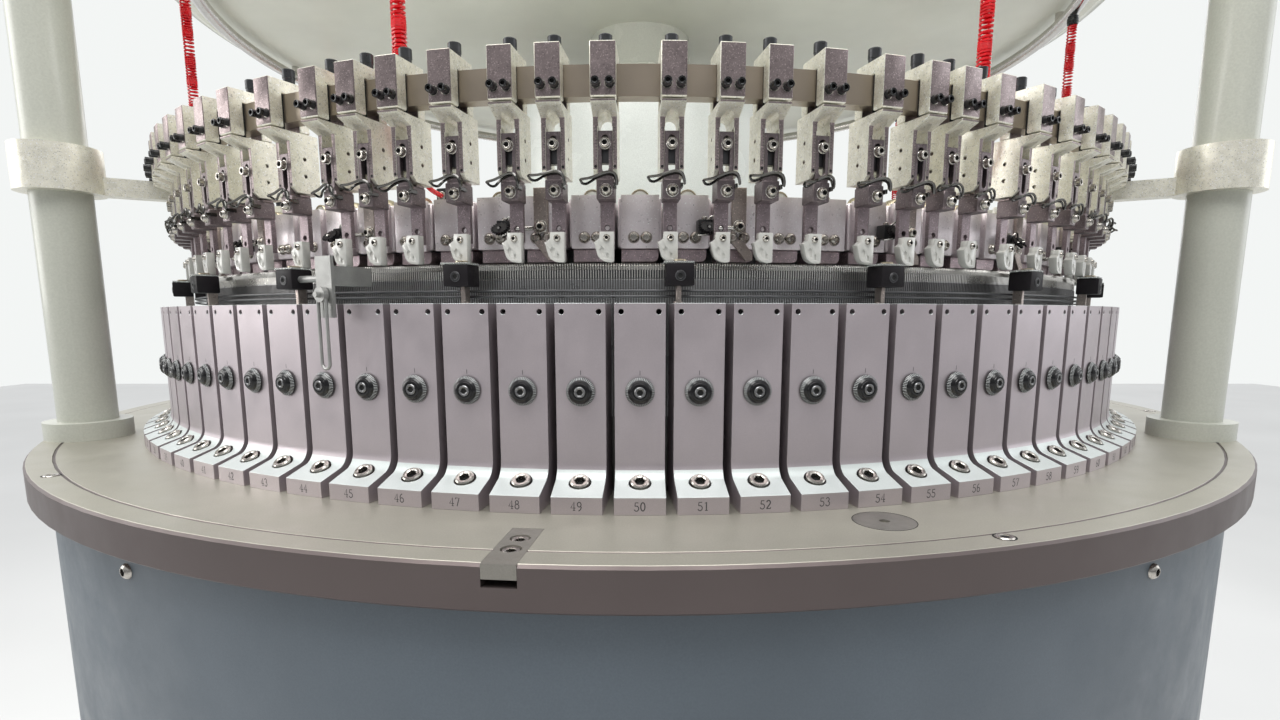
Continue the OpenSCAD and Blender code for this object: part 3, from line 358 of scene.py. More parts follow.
def loft(loops, cap_first=True, cap_last=True, ring=False):
    n = len(loops[0])
    faces = []
    rows = len(loops)
    for i in range(rows if ring else rows - 1):
        a, b = i * n, (i + 1) % rows * n
        faces += [(a + j, a + (j + 1) % n, b + (j + 1) % n, b + j) for j in range(n)]
    if cap_first and not ring:
        faces.append(tuple(range(n - 1, -1, -1)))
    if cap_last and not ring:
        faces.append(tuple(range((rows - 1) * n, rows * n)))
    return np.concatenate([np.asarray(loop, float) for loop in loops]), faces


def turned(profile, count, cap_first=True, cap_last=True):
    return loft([circle(r, h, count) for r, h in profile], cap_first, cap_last)


def block(low, high, bevel=0.3, segments=1):
    """Box between two corners with rounded edges."""
    bm = bmesh.new()
    bmesh.ops.create_cube(bm, size=1)
    low, high = Vector(low), Vector(high)
    for v in bm.verts:
        v.co = Vector([low[i] + (v.co[i] + 0.5) * (high[i] - low[i]) for i in range(3)])
    if bevel:
        bmesh.ops.bevel(bm, geom=bm.edges[:], offset=bevel, segments=segments, profile=0.5, affect="EDGES")
    part = (np.array([v.co[:] for v in bm.verts]), [tuple(v.index for v in f.verts) for f in bm.faces])
    bm.free()
    return part


def inset(loop, distance):
    """Moves a closed outline towards its left-hand side, which is where the material is."""
    p = np.asarray(loop, float)
    d = np.roll(p, -1, 0) - p
    d /= np.linalg.norm(d, axis=1)[:, None]
    n = np.stack([-d[:, 1], d[:, 0]], 1)
    before = np.roll(n, 1, 0)
    scale = 1 + (before * n).sum(1)
    return p + distance * (before + n) / np.maximum(scale, 0.3)[:, None]


def area(loop):
    p = np.asarray(loop, float)
    q = np.roll(p, -1, 0)
    return ((p[:, 0] * q[:, 1] - p[:, 1] * q[:, 0]).sum()) / 2


def plate(outer, low, high, holes=(), chamfer=0.0):
    """Flat plate from an outline, with holes and chamfered edges."""
    outer = np.asarray(outer, float)
    loops = [outer if area(outer) > 0 else outer[::-1]]
    for hole in holes:
        hole = np.asarray(hole, float)
        loops.append(hole if area(hole) < 0 else hole[::-1])
    verts, faces, tops, bottoms = [], [], [], []
    offset = 0
    for loop in loops:
        n = len(loop)
        levels = []
        if chamfer:
            levels.append((inset(loop, chamfer), low))
        levels += [(loop, low + chamfer), (loop, high - chamfer)]
        if chamfer:
            levels.append((inset(loop, chamfer), high))
        rings = [np.column_stack([xy, np.full(n, float(z))]) for xy, z in levels]
        v, f = loft(rings, False, False)
        verts.append(v)
        faces += [tuple(i + offset for i in face) for face in f]
        bottoms.append(list(range(offset, offset + n)))
        tops.append(list(range(offset + (len(rings) - 1) * n, offset + len(rings) * n)))
        offset += len(v)
    verts = np.concatenate(verts)
    for groups, up in ((bottoms, False), (tops, True)):
        flat = [i for group in groups for i in group]
        triangles = tessellate_polygon([[Vector((*verts[i][:2], 0)) for i in group] for group in groups])
        for t in triangles:
            a, b, c = (verts[flat[i]] for i in t)
            ccw = (b[0] - a[0]) * (c[1] - a[1]) - (b[1] - a[1]) * (c[0] - a[0]) > 0
            t = t if ccw == up else t[::-1]
            faces.append(tuple(flat[i] for i in t))
    return verts, faces


def disc_outline(radius, x, y, count):
    a = np.arange(count) * 2 * math.pi / count
    return np.stack([x + radius * np.cos(a), y + radius * np.sin(a)], 1)


def slot_outline(width, low, high, x=0.0, count=8):
    """Upright slot with round ends."""
    r = width / 2
    a = np.linspace(0, math.pi, count)
    top = np.stack([x + r * np.cos(a), high - r + r * np.sin(a)], 1)
    bottom = np.stack([x - r * np.cos(a), low + r - r * np.sin(a)], 1)
    return np.concatenate([top, bottom])


def sweep(path, radius, sides, closed=False):
    """Round wire along a list of points."""
    p = np.asarray(path, float)
    n = len(p)
    if closed:
        d = np.roll(p, -1, 0) - np.roll(p, 1, 0)
    else:
        d = np.gradient(p, axis=0)
    d /= np.linalg.norm(d, axis=1)[:, None]
    up = np.array([0, 0, 1.0]) if abs(d[0][2]) < 0.9 else np.array([1.0, 0, 0])
    loops = []
    a = np.arange(sides) * 2 * math.pi / sides
    for i in range(n):
        side = np.cross(d[i], up)
        side /= np.linalg.norm(side)
        up = np.cross(side, d[i])
        loops.append(p[i] + radius * (np.cos(a)[:, None] * side + np.sin(a)[:, None] * up))
    return loft(loops, ring=closed)


def smooth_path(points, steps=5):
    p = np.asarray(points, float)
    out = []
    for i in range(len(p) - 1):
        a, b, c, d = p[max(i - 1, 0)], p[i], p[i + 1], p[min(i + 2, len(p) - 1)]
        for t in np.arange(steps) / steps:
            out.append(0.5 * (2 * b + (c - a) * t + (2 * a - 5 * b + 4 * c - d) * t ** 2
                              + (3 * b - a - 3 * c + d) * t ** 3))
    return np.array(out + [p[-1]])


def disc(radius, count):
    """Flat disc that faces along z."""
    return circle(radius, 0, count), [tuple(range(count))]


def quad(x0, x1, y0, y1):
    """Flat rectangle that faces along z."""
    return np.array([(x0, y0, 0), (x1, y0, 0), (x1, y1, 0), (x0, y1, 0)], float), [(0, 1, 2, 3)]


def moved(part, matrix):
    m = np.array(matrix, float)
    verts = part[0] @ m[:3, :3].T + m[:3, 3]
    faces = part[1]
    if np.linalg.det(m[:3, :3]) < 0:
        faces = [f[::-1] for f in faces]
    return verts, faces


def place(x=0.0, radius=0.0, height=0.0, tilt=0.0):
    """Matrix that lays a part's z axis outwards at a place on the front; tilt raises it, 90 is upright."""
    return (Matrix.Translation((x, -radius, height))
            @ Matrix.Rotation(math.radians(90 - tilt), 4, "X"))


def raised(at, height):
    """A place moved along its own z axis."""
    return at @ Matrix.Translation((0, 0, height))


def side_profile(outline, width):
    """Plate from an outline of (radius, height) points, centred across the station."""
    sideways = Matrix(((0, 0, -1, 0), (-1, 0, 0, 0), (0, 1, 0, 0), (0, 0, 0, 1)))
    return moved(plate(outline, -width / 2, width / 2), sideways)


def bore(radius, low, high, count, at):
    """Cutter for a round hole."""
    return moved(turned([(radius, low), (radius, high)], count), at)


def carved(part, cutters, bevel, angle=35):
    """Cuts shapes out of a part and rounds the edges that are left."""
    scene = bpy.context.scene.collection
    made = []

    def temporary(shape):
        mesh = bpy.data.meshes.new("temporary")
        mesh.from_pydata([tuple(v) for v in shape[0]], [], shape[1])
        o = bpy.data.objects.new("temporary", mesh)
        scene.objects.link(o)
        made.append(o)
        return o

    base = temporary(part)
    for cutter in cutters:
        modifier = base.modifiers.new("cut", "BOOLEAN")
        modifier.operation = "DIFFERENCE"
        modifier.solver = "EXACT"
        modifier.object = temporary(cutter)
    modifier = base.modifiers.new("round", "BEVEL")
    modifier.width = bevel
    modifier.segments = 1
    modifier.limit_method = "ANGLE"
    modifier.angle_limit = math.radians(angle)
    shown = base.evaluated_get(bpy.context.evaluated_depsgraph_get())
    mesh = shown.to_mesh()
    result = (np.array([v.co[:] for v in mesh.vertices]), [tuple(p.vertices) for p in mesh.polygons])
    shown.to_mesh_clear()
    for o in made:
        mesh = o.data
        bpy.data.objects.remove(o)
        bpy.data.meshes.remove(mesh)
    return result


class Kit:
    """Parts of one station with their materials, drawn at the front and then copied round."""

    def __init__(self):
        self.points, self.faces, self.marks, self.materials = [], [], [], []
        self.count = 0

    def add_faced(self, part, chosen, other, direction, limit=0.8):
        """Faces towards the given direction in one material, all others in the second."""
        points = np.asarray(part[0], float)
        towards, away = [], []
        for face in part[1]:
            p = points[list(face)]
            normal = np.cross(p, np.roll(p, -1, 0)).sum(0)
            (towards if normal @ direction > limit * np.linalg.norm(normal) else away).append(face)
        self.add((points, towards), chosen)
        self.add((points, away), other)

    def add(self, part, material, at=None):
        if at is not None:
            part = moved(part, at)
        if material not in self.materials:
            self.materials.append(material)
        mark = self.materials.index(material)
        self.points.append(np.asarray(part[0], float))
        self.faces += [tuple(i + self.count for i in f) for f in part[1]]
        self.marks += [mark] * len(part[1])
        self.count += len(part[0])


def build(name, kits, body, replaces=(), sharp=38, flat=False):
    """One piece from (kit, angles) pairs; heights in the kits are above the bed."""
    materials, points, loops, totals, marks = [], [], [], [], []
    start = 0
    for kit, angles in kits:
        for material in kit.materials:
            if material not in materials:
                materials.append(material)
        local = np.concatenate(kit.points)
        loop = np.array([i for f in kit.faces for i in f], np.int64)
        total = np.array([len(f) for f in kit.faces], np.int64)
        mark = np.array([materials.index(kit.materials[m]) for m in kit.marks], np.int64)
        for angle in angles:
            t = math.radians(angle)
            c, s = math.cos(t), math.sin(t)
            turned_points = np.stack([local[:, 0] * c - local[:, 1] * s,
                                      local[:, 0] * s + local[:, 1] * c,
                                      local[:, 2] + BED_Z], 1) / 1000
            points.append(turned_points)
            loops.append(loop + start)
            totals.append(total)
            marks.append(mark)
            start += len(local)
    points, loops = np.concatenate(points), np.concatenate(loops)
    totals, marks = np.concatenate(totals), np.concatenate(marks)
    mesh = bpy.data.meshes.new(name)
    mesh.vertices.add(len(points))
    mesh.vertices.foreach_set("co", points.astype(np.float32).ravel())
    mesh.loops.add(len(loops))
    mesh.loops.foreach_set("vertex_index", loops.astype(np.int32))
    mesh.polygons.add(len(totals))
    starts = np.concatenate([[0], np.cumsum(totals)[:-1]])
    mesh.polygons.foreach_set("loop_start", starts.astype(np.int32))
    mesh.polygons.foreach_set("loop_total", totals.astype(np.int32))
    mesh.polygons.foreach_set("material_index", marks.astype(np.int32))
    for material in materials:
        mesh.materials.append(material)
    mesh.update(calc_edges=True)
    if not flat:
        mesh.polygons.foreach_set("use_smooth", np.ones(len(totals), bool))
        mesh.set_sharp_from_angle(angle=math.radians(sharp))
    o = bpy.data.objects.new(name, mesh)
    bpy.context.scene.collection.objects.link(o)
    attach(o, body)
    if replaces:
        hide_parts(*replaces)


def fixed(name, kit, angles, replaced, sharp=38):
    """Piece on the frame: one kit at all its angles, in place of one CAD node."""
    build(name, [(kit, angles)], "machine_frame", [replaced], sharp)


# Screws; their axis is z and their seat is at z = 0

def corner_radius(key):
    """From a hex key's size to the radius of its corners."""
    return key / 2 / math.cos(math.pi / 6)


def button_screw(diameter, height, key, depth, count=15):
    r, corner = diameter / 2, corner_radius(key)
    loops = [circle(r, 0, count), circle(r * 0.95, height * 0.4, count),
             circle(r * 0.76, height * 0.78, count), circle(max(r * 0.55, corner * 1.12), height, count),
             hexagon(corner, height - 0.08, count), hexagon(corner, height - depth, count)]
    return loft(loops, False)


def cap_screw(diameter, height, key, depth=None, count=18):
    r, corner = diameter / 2, corner_radius(key)
    depth = depth or height * 0.6
    edge = diameter * 0.06
    loops = [circle(r, 0, count), circle(r, height - edge, count), circle(r - edge, height, count),
             circle(corner * 1.15, height, count), hexagon(corner, height - edge * 0.7, count),
             hexagon(corner, height - depth, count)]
    return loft(loops, False)


def add_screw(kit, make, sizes, floor_level, at, material=SCREW):
    """Screw by one of the makers above, with a dark disc of painted shadow at the bottom of its hex socket.
    """
    kit.add(make(*sizes), material, at)
    count = 12
    corner = corner_radius(sizes[2]) * 0.98
    kit.add((hexagon(corner, floor_level + 0.02, count), [tuple(range(count))]), HOLE_SHADOW, at)


def washer(outer, inner, height, count=16):
    c = height * 0.3
    return loft([circle(outer, 0, count), circle(outer, height - c, count),
                 circle(outer - c, height, count), circle(inner, height, count)], False, False)


def number_angle(number):
    return (number - FRONT_NUMBER) * STEP


numbers_all = range(FIRST_NUMBER, FIRST_NUMBER + STATIONS)
block_angles = [number_angle(k) for k in numbers_all]
cam_angles = [i * STEP for i in range(STATIONS)]

# The feeders near the front have been slid along the ring by hand, by these parts of a spacing
FIRST_SLID = -8
SLIDES = [0.25, 0.45, 0.3, 0.15, 0.15, 0.2, 0, -0.1, 0.05, 0, -0.2, -0.25, -0.15, -0.2, -0.45, -0.55,
          -0.3, -0.1]
HOSE_GAPS = [-41, -29, -17, -5, 8, 20, 32, 43]


def feeder_angle(i):
    slid = SLIDES[i - FIRST_SLID] if 0 <= i - FIRST_SLID < len(SLIDES) else 0
    return (i + 0.5 + slid) * STEP


feeder_angles = [feeder_angle(i) for i in range(-STATIONS // 2, STATIONS // 2)]
hose_angles = [(feeder_angle(i - 1) + feeder_angle(i)) / 2 for i in HOSE_GAPS]
guard_angles = [(4 * i + 0.7) * STEP for i in range(STATIONS // 4)]
latch_angles = [(4 * i + 2) * STEP for i in range(STATIONS // 4)]


# Cam blocks

def cam_block_kit():
    slope = math.radians(30)
    fillet = 10
    reach = FOOT_R - FACE_R
    rise = (reach - fillet * math.tan(math.pi / 4 - slope / 2)) * math.tan(slope)
    centre = (FACE_R + fillet, FOOT_EDGE + rise + fillet * math.tan(math.pi / 4 - slope / 2))
    arc = [(centre[0] + fillet * math.cos(a), centre[1] + fillet * math.sin(a))
           for a in np.linspace(math.radians(240), math.radians(180), 9)]
    outline = [(CAM_R, 0), (FOOT_R, 0), (FOOT_R, FOOT_EDGE)] + arc + [(FACE_R, BLOCK_H), (CAM_R, BLOCK_H)]
    width = 2 * CAM_R * math.tan(math.radians(STEP / 2)) - 2.7
    screw_back, hole_h, hole_places = 11.1, BLOCK_H - 4.3, (-9.5, 9.5)
    seat = place(0, FOOT_R - screw_back, FOOT_EDGE + screw_back * math.tan(slope), 60)
    bottom = raised(seat, -5.9)
    cutters = [bore(5.9, -6, 8, 20, seat)]
    for side in hole_places:
        cutters.append(bore(1.5, -8, 2, 10, place(side, FACE_R, hole_h)))
    cutters.append(bore(4.2, -6, 2, 12, place(0, FACE_R, KNOB_H)))
    kit = Kit()
    base = side_profile(outline, width)
    # Faces that point up get the light copy as painted light, the rest the block's own metal
    kit.add_faced(carved(base, cutters, 0.45, 20), CAM_TOP_LIT, CAM_BLOCK, (0, 0, 1), 0.35)
    add_screw(kit, cap_screw, (10, 5.4, 5, 3.2), 2.3, bottom)
    kit.add(disc(5.88, 20), HOLE_SHADOW, bottom)
    for side in hole_places:
        kit.add(disc(1.49, 10), HOLE_SHADOW, place(side, FACE_R - 7.85, hole_h))
    kit.add(block((-0.16, -FACE_R - 0.03, 68), (0.16, -FACE_R + 0.2, 70.4), 0), ENGRAVED)
    return kit


fixed("cam_block_bodies", cam_block_kit(), block_angles, "cam_blocks", 30)


# Numbers on the feet, drawn as strokes with serifs

def digit_strokes():
    """Strokes of the digits in a box 0.6 wide and 1 high, as (points, width); widths in digit heights."""
    def curve(cx, cy, rx, ry, a0, a1, n=10):
        return [(cx + rx * math.cos(math.radians(a)), cy + ry * math.sin(math.radians(a)))
                for a in np.linspace(a0, a1, n)]
    thick, middle, thin = 0.14, 0.11, 0.07
    return {
        "0": [(curve(0.3, 0.5, 0.22, 0.45, 0, 180, 14), thick),
              (curve(0.3, 0.5, 0.22, 0.45, 180, 360, 14), thick)],
        "1": [([(0.3, 0.0), (0.3, 0.95)], thick), ([(0.12, 0.8), (0.3, 0.95)], thin),
              ([(0.14, 0.03), (0.46, 0.03)], thin)],
        "2": [(curve(0.3, 0.7, 0.2, 0.25, 170, -30, 10) + [(0.1, 0.06)], thick),
              ([(0.08, 0.05), (0.52, 0.05), (0.54, 0.2)], middle)],
        "3": [(curve(0.28, 0.74, 0.18, 0.21, 160, -80, 10), middle),
              (curve(0.28, 0.28, 0.23, 0.26, 85, -160, 12), middle)],
        "4": [([(0.4, 0.0), (0.4, 0.95), (0.06, 0.3), (0.56, 0.3)], middle),
              ([(0.28, 0.03), (0.54, 0.03)], thin)],
        "5": [([(0.5, 0.93), (0.16, 0.93), (0.13, 0.55)], middle),
              (curve(0.28, 0.3, 0.24, 0.28, 120, -160, 14), middle)],
        "6": [(curve(0.46, 0.5, 0.36, 0.48, 100, 180, 8), middle),
              (curve(0.31, 0.28, 0.21, 0.26, 0, 360, 18), middle)],
        "7": [([(0.1, 0.78), (0.1, 0.93), (0.52, 0.93), (0.24, 0.0)], middle)],
        "8": [(curve(0.3, 0.74, 0.17, 0.2, 0, 360, 16), middle),
              (curve(0.3, 0.28, 0.22, 0.26, 0, 360, 18), middle)],
        "9": [(curve(0.3, 0.68, 0.2, 0.26, 0, 360, 18), middle),
              (curve(0.15, 0.46, 0.36, 0.48, -80, 0, 8), middle)],
    }


def stroke(points, width):
    """Flat ribbon along a line of points."""
    p = np.asarray(points, float)
    d = np.gradient(p, axis=0)
    d /= np.maximum(np.linalg.norm(d, axis=1), 1e-9)[:, None]
    n = np.stack([-d[:, 1], d[:, 0]], 1) * width / 2
    verts = np.concatenate([p - n, p + n])
    count = len(p)
    faces = [(i, i + 1, count + i + 1, count + i) for i in range(count - 1)]
    return np.column_stack([verts, np.zeros(2 * count)]), faces


def number_kits():
    strokes = digit_strokes()
    height = 4.7
    kits = []
    for k in numbers_all:
        # The number after the last is 1 again
        label = str((k - 1) % STATIONS + 1)
        kit = Kit()
        for i, digit in enumerate(label):
            left = (i - len(label) / 2) * 0.66 * height
            for points, width in strokes[digit]:
                line = [(left + x * height, y * height) for x, y in points]
                kit.add(stroke(line, width * height), ENGRAVED, place(0, FOOT_R + PRINT_GAP, 2.1))
        kits.append((kit, [number_angle(k)]))
    return kits


build("block_numbers", number_kits(), "machine_frame", flat=True)


# Stitch dials: conical skirt with graduations, round a socket screw

def stitch_dial_kit(turn):
    marks, mark_width = 48, 0.036
    starts = [i * 2 * math.pi / marks + turn for i in range(marks)]
    a = np.array([start + edge for start in starts for edge in (0, mark_width)])

    def rim(radius, height):
        return np.stack([radius * np.cos(a), radius * np.sin(a), np.full(len(a), height)], 1)

    kit = Kit()
    verts, faces = loft([rim(7.5, 1.1), rim(6.15, 2.65)], False, False)
    at = place(0, FACE_R, KNOB_H)
    kit.add((verts, faces[1::2]), BLACK_GLOSS, at)
    kit.add((verts, faces[::2]), MARK, at)
    kit.add(turned([(7.1, 0.35), (7.55, 0.75), (7.5, 1.1)], 32, True, False), BLACK_GLOSS, at)
    kit.add(turned([(6.15, 2.65), (5.25, 3.7), (4.7, 3.95), (4.5, 4.35), (4.15, 4.5), (3.3, 4.5)],
                   24, False, False), BLACK_GLOSS, at)
    add_screw(kit, cap_screw, (5.8, 0.8, 3.0, 0.7), 0.12, raised(at, 4.15), DIAL_SCREW)
    kit.add(turned([(4, 0.4), (4, -20)][::-1], 16, False, False), BLACK, at)
    return kit


rng = np.random.default_rng(7)
for k in LOOSE_DIALS:
    kit = stitch_dial_kit(float(rng.uniform(0, 6)))
    build(f"stitch_dial_{k}_knob", [(kit, [number_angle(k)])], f"stitch_dial_{k}",
          [f"stitch_dial_{k}"], sharp=25)
rear = [[], [], []]
for k in range(LOOSE_DIALS.stop, LOOSE_DIALS.start + STATIONS):
    rear[k % 3].append(number_angle(k))
build("stitch_dial_knobs_rear", [(stitch_dial_kit(0.5 + i), rear[i]) for i in range(3)], "machine_frame",
      ["stitch_dials_rear"], sharp=25)


# Guard ring clamps: dark cube on a post, hex screw, clear plate and brass disc

def guard_clamp_kit():
    kit = Kit()
    low, high = BLOCK_H + 9, BLOCK_H + 20.4
    screw_at = place(0, POST_IN + 14, (low + high) / 2 - 0.6)
    kit.add(block((-1.3, -POST_IN - 6, BLOCK_H), (1.3, -POST_IN, low + 0.5), 0.3), BROWN)
    kit.add(turned([(2.6, 0), (2.6, 1.1), (1.3, 1.4)], 16), BROWN, place(0, POST_IN + 3, BLOCK_H, 90))
    kit.add(block((-7.25, -POST_IN - 14, low), (7.25, -POST_IN, high), 0.7, 2), CUBE)
    add_screw(kit, cap_screw, (4.6, 0.5, 2.4, 0.45), 0.06, screw_at, BLACK)
    kit.add(washer(2.75, 2.3, 0.35, 24), DARK, screw_at)
    kit.add(block((-8.6, -POST_IN - 13.6, high), (7.2, -POST_IN - 0.5, high + 1.1), 0.25), CLEAR)
    kit.add(turned([(3.4, 0), (3.4, 0.9), (3.0, 1.2), (1.0, 1.2), (0.8, 0.7)], 22), BRASS,
            place(0.5, POST_IN + 7, high + 1.1, 90))
    return kit


fixed("guard_clamp_cubes", guard_clamp_kit(), guard_angles, "guard_ring_clamps")


# Feeder clamps

def clamp_kit():
    slit = RING_OUT + 0.8
    roof = RING_H + RING_T + 0.4
    kit = Kit()
    outline = [(CLAMP_IN, CLAMP_BOTTOM), (RING_IN - 0.3, CLAMP_BOTTOM), (RING_IN - 0.3, roof), (slit, roof),
               (slit, CLAMP_BOTTOM + 0.9), (CLAMP_OUT, CLAMP_BOTTOM + 0.9), (CLAMP_OUT, CLAMP_TOP),
               (CLAMP_IN, CLAMP_TOP)]
    screws = (-CLAMP_SCREW_X, CLAMP_SCREW_X)
    cutters = [bore(2.15, -3, 3, 10, place(x, CLAMP_OUT, CLAMP_SCREW_H)) for x in screws]
    base = side_profile(outline, CLAMP_W)
    # Front faces get the dark copy as painted shade, side faces the bright copy as painted light
    kit.add_faced(carved(base, cutters, 0.5), CAST_SHADED, CAST_LIT, (0, -1, 0))
    # A near-black block fills the slit over the ring as painted shadow
    kit.add(block((-CLAMP_W / 2 + 0.25, -slit + 0.05, CLAMP_BOTTOM - 0.1),
                  (CLAMP_W / 2 - 0.25, -RING_OUT - 0.05, roof), 0), HOLE_SHADOW)
    at_top = place(0, RING_IN, CLAMP_TOP, 90)
    kit.add(turned([(3.2, 0), (3.2, 3.6), (3.5, 3.8), (3.5, 4.2)], 18, False), CAP_BLACK, at_top)
    add_screw(kit, cap_screw, (7, 4.6, 3.2), 2.2, raised(at_top, 4.2), CAP_BLACK)
    for x in screws:
        at = place(x, CLAMP_OUT - 1, CLAMP_SCREW_H)
        kit.add(turned([(2.0, 0), (2.0, 3.6)], 12, False), BLACK, at)
        add_screw(kit, cap_screw, (4.1, 2.2, 2.1, 1.6, 12), 0.7, raised(at, 3.6), BLACK_GLOSS)
    return kit


fixed("feeder_clamp_bodies", clamp_kit(), feeder_angles, "feeder_clamps")


# Feeder arms

def arm_kit():
    shoulder = CLAMP_BOTTOM - 1
    outline = [(ARM_BACK, CLAMP_BOTTOM - 0.05), (CLAMP_OUT, CLAMP_BOTTOM - 0.05), (CLAMP_OUT, shoulder),
               (ARM_R, shoulder - 4.5), (ARM_R, ARM_BOTTOM + 3), (ARM_R - 3, ARM_BOTTOM),
               (ARM_BACK, ARM_BOTTOM)]
    base = side_profile(outline, ARM_W)
    window = plate(slot_outline(7, ARM_BOTTOM + 0.8, CLAMP_BOTTOM - 3, 0, 6), 0, 40)
    window = moved(window, place(0, ARM_BACK - 2, 0))
    half = SLIDER_W / 2 + 0.15
    channel = block((-half, -ARM_R - 2, ARM_BOTTOM - 2), (half, -ARM_R + 3.2, ARM_BOTTOM + 23.5), 0)
    cutters = [window, channel]
    across = bore(1.2, -8, 8, 8, Matrix.Rotation(math.pi / 2, 4, "Y"))
    for level in (9.8, 19.4):
        cutters.append(moved(across, Matrix.Translation((0, -ARM_R + 9, ARM_BOTTOM + level))))
    kit = Kit()
    # Front faces get the dark copy as painted shade, side faces the bright copy as painted light
    kit.add_faced(carved(base, cutters, 0.3), CAST_SHADED, CAST_LIT, (0, -1, 0))
    for x in (-4.9, 4.9):
        kit.add(disc(0.75, 12), HOLE_SHADOW, place(x, ARM_R + PRINT_GAP, ARM_BOTTOM + 4.2))
        for i in range(11):
            inner = math.copysign(half + 0.25, x)
            outer = math.copysign(half + (1.5 if i % 5 == 0 else 1.0), x)
            low, high = sorted((inner, outer))
            kit.add(quad(low, high, 7.6 + 1.5 * i, 7.9 + 1.5 * i), ENGRAVED,
                    place(0, ARM_R + PRINT_GAP, ARM_BOTTOM))
    return kit


fixed("feeder_arm_bodies", arm_kit(), feeder_angles, "feeder_arms")


# Sliders: slotted plate, guide block and lower bar

def slider_kit():
    kit = Kit()
    half = SLIDER_W / 2
    back = ARM_R - 3.2
    outline = [(-half, GUIDE_TOP - 1), (half, GUIDE_TOP - 1), (half, ARM_BOTTOM + 21.5),
               (-half, ARM_BOTTOM + 21.5)]
    slot = slot_outline(3.6, ARM_BOTTOM + 1.6, ARM_BOTTOM + 19.6, 0, 6)
    kit.add(plate(outline, 0, 3.2, [slot], 0.25), CAST_DARK, place(0, back, 0))
    kit.add(block((-3.4, -back + 0.1, ARM_BOTTOM + 6.4), (3.4, -back + 4.5, ARM_BOTTOM + 22), 0.2), DARK)
    body = block((-4.6, -ARM_R - 0.4, GUIDE_BOTTOM), (4.6, -BAR_BACK, GUIDE_TOP), 0)
    kit.add(carved(body, [], 0.4), CAST_DARK)
    bar = [(-3.7, BAR_BOTTOM), (3.7, BAR_BOTTOM), (3.7, GUIDE_BOTTOM + 0.6), (-3.7, GUIDE_BOTTOM + 0.6)]
    hole_h = BAR_BOTTOM + 7
    hole = disc_outline(1.5, 0, hole_h, 12)
    kit.add(plate(bar, 0, 3, [hole], 0.25), SLIDER_BAR, place(0, BAR_BACK, 0))
    kit.add(turned([(1.52, 0.2), (1.52, 2.4), (1.25, 2.4)], 12, False, False), HOLE_SHADOW,
            place(0, BAR_BACK, hole_h))
    screw_at = place(0, ARM_R, ARM_BOTTOM + 15.2)
    kit.add(washer(2.9, 1.2, 0.5), STEEL, screw_at)
    add_screw(kit, cap_screw, (5.0, 3.0, 2.5, 1.6), 1.5, raised(screw_at, 0.5))
    kit.add(turned([(1.25, -3), (1.25, 0)], 8, False, False), STEEL, screw_at)
    block_screw = place(0.4, ARM_R + 0.4, GUIDE_BOTTOM + 4.4)
    kit.add(washer(3.35, 1.4, 0.5), STEEL, block_screw)
    add_screw(kit, button_screw, (5.9, 2.6, 2.5, 1.6), 1.1, raised(block_screw, 0.5))
    return kit


fixed("feeder_slider_bars", slider_kit(), feeder_angles, "feeder_sliders")


# Thread guides: a long loop of bent wire

def guide_kit(turn, rise):
    """Bent wire in a long loop: a wider eye at its left, over the slider, down to the block's right."""
    bend = [(-12.3, 0.2, 0), (-11.4, -0.6, 1.7), (-9.2, -0.8, 2.3), (-7.0, -0.2, 1.7), (-4.6, 0.8, 1.05),
            (-1.0, 1.9, 0.95), (2.4, 2.2, 0.95), (5.0, 1.0, 0.95), (6.0, -1.6, 0.8), (6.2, -3.6, 0)]
    near = [(x, -depth, z + 0.35 * depth) for x, z, depth in bend]
    far = [(x, depth, z - 0.35 * depth) for x, z, depth in reversed(bend[1:-1])]
    loop = np.array(smooth_path(near + far + [near[0]], 2))[:-1]
    loop[:, 2] += (loop[:, 0] - 6) * rise
    kit = Kit()
    at = Matrix.Translation((0, -ARM_R - 3.2, GUIDE_TOP + 0.6))
    kit.add(sweep(loop, 0.72, 5, True), GUIDE, at @ Matrix.Rotation(math.radians(turn), 4, "Z"))
    kit.add(block((4.2, -ARM_R - 2.6, GUIDE_TOP - 4.5), (5.6, -ARM_R + 4, GUIDE_TOP - 2.2), 0.3), GUIDE)
    foot = block((-4.2, -ARM_R + 5.6, GUIDE_TOP - 0.05), (4.2, -BAR_BACK - 0.4, GUIDE_TOP + 1.4), 0.3)
    # The foot gets the dark copy of the cast metal, with its painted shade
    kit.add(foot, CAST_SHADED)
    return kit


# Turn in degrees and rise per mm of four guides in a row, over and over round the ring
GUIDE_POSES = ((-6, 0.02), (-14, 0.08), (4, -0.03), (12, 0.12))
guides = [(guide_kit(turn, rise), feeder_angles[k::4]) for k, (turn, rise) in enumerate(GUIDE_POSES)]
build("thread_guide_fingers", guides, "machine_frame", ["yarn_guides"])


# Ceramic feeders

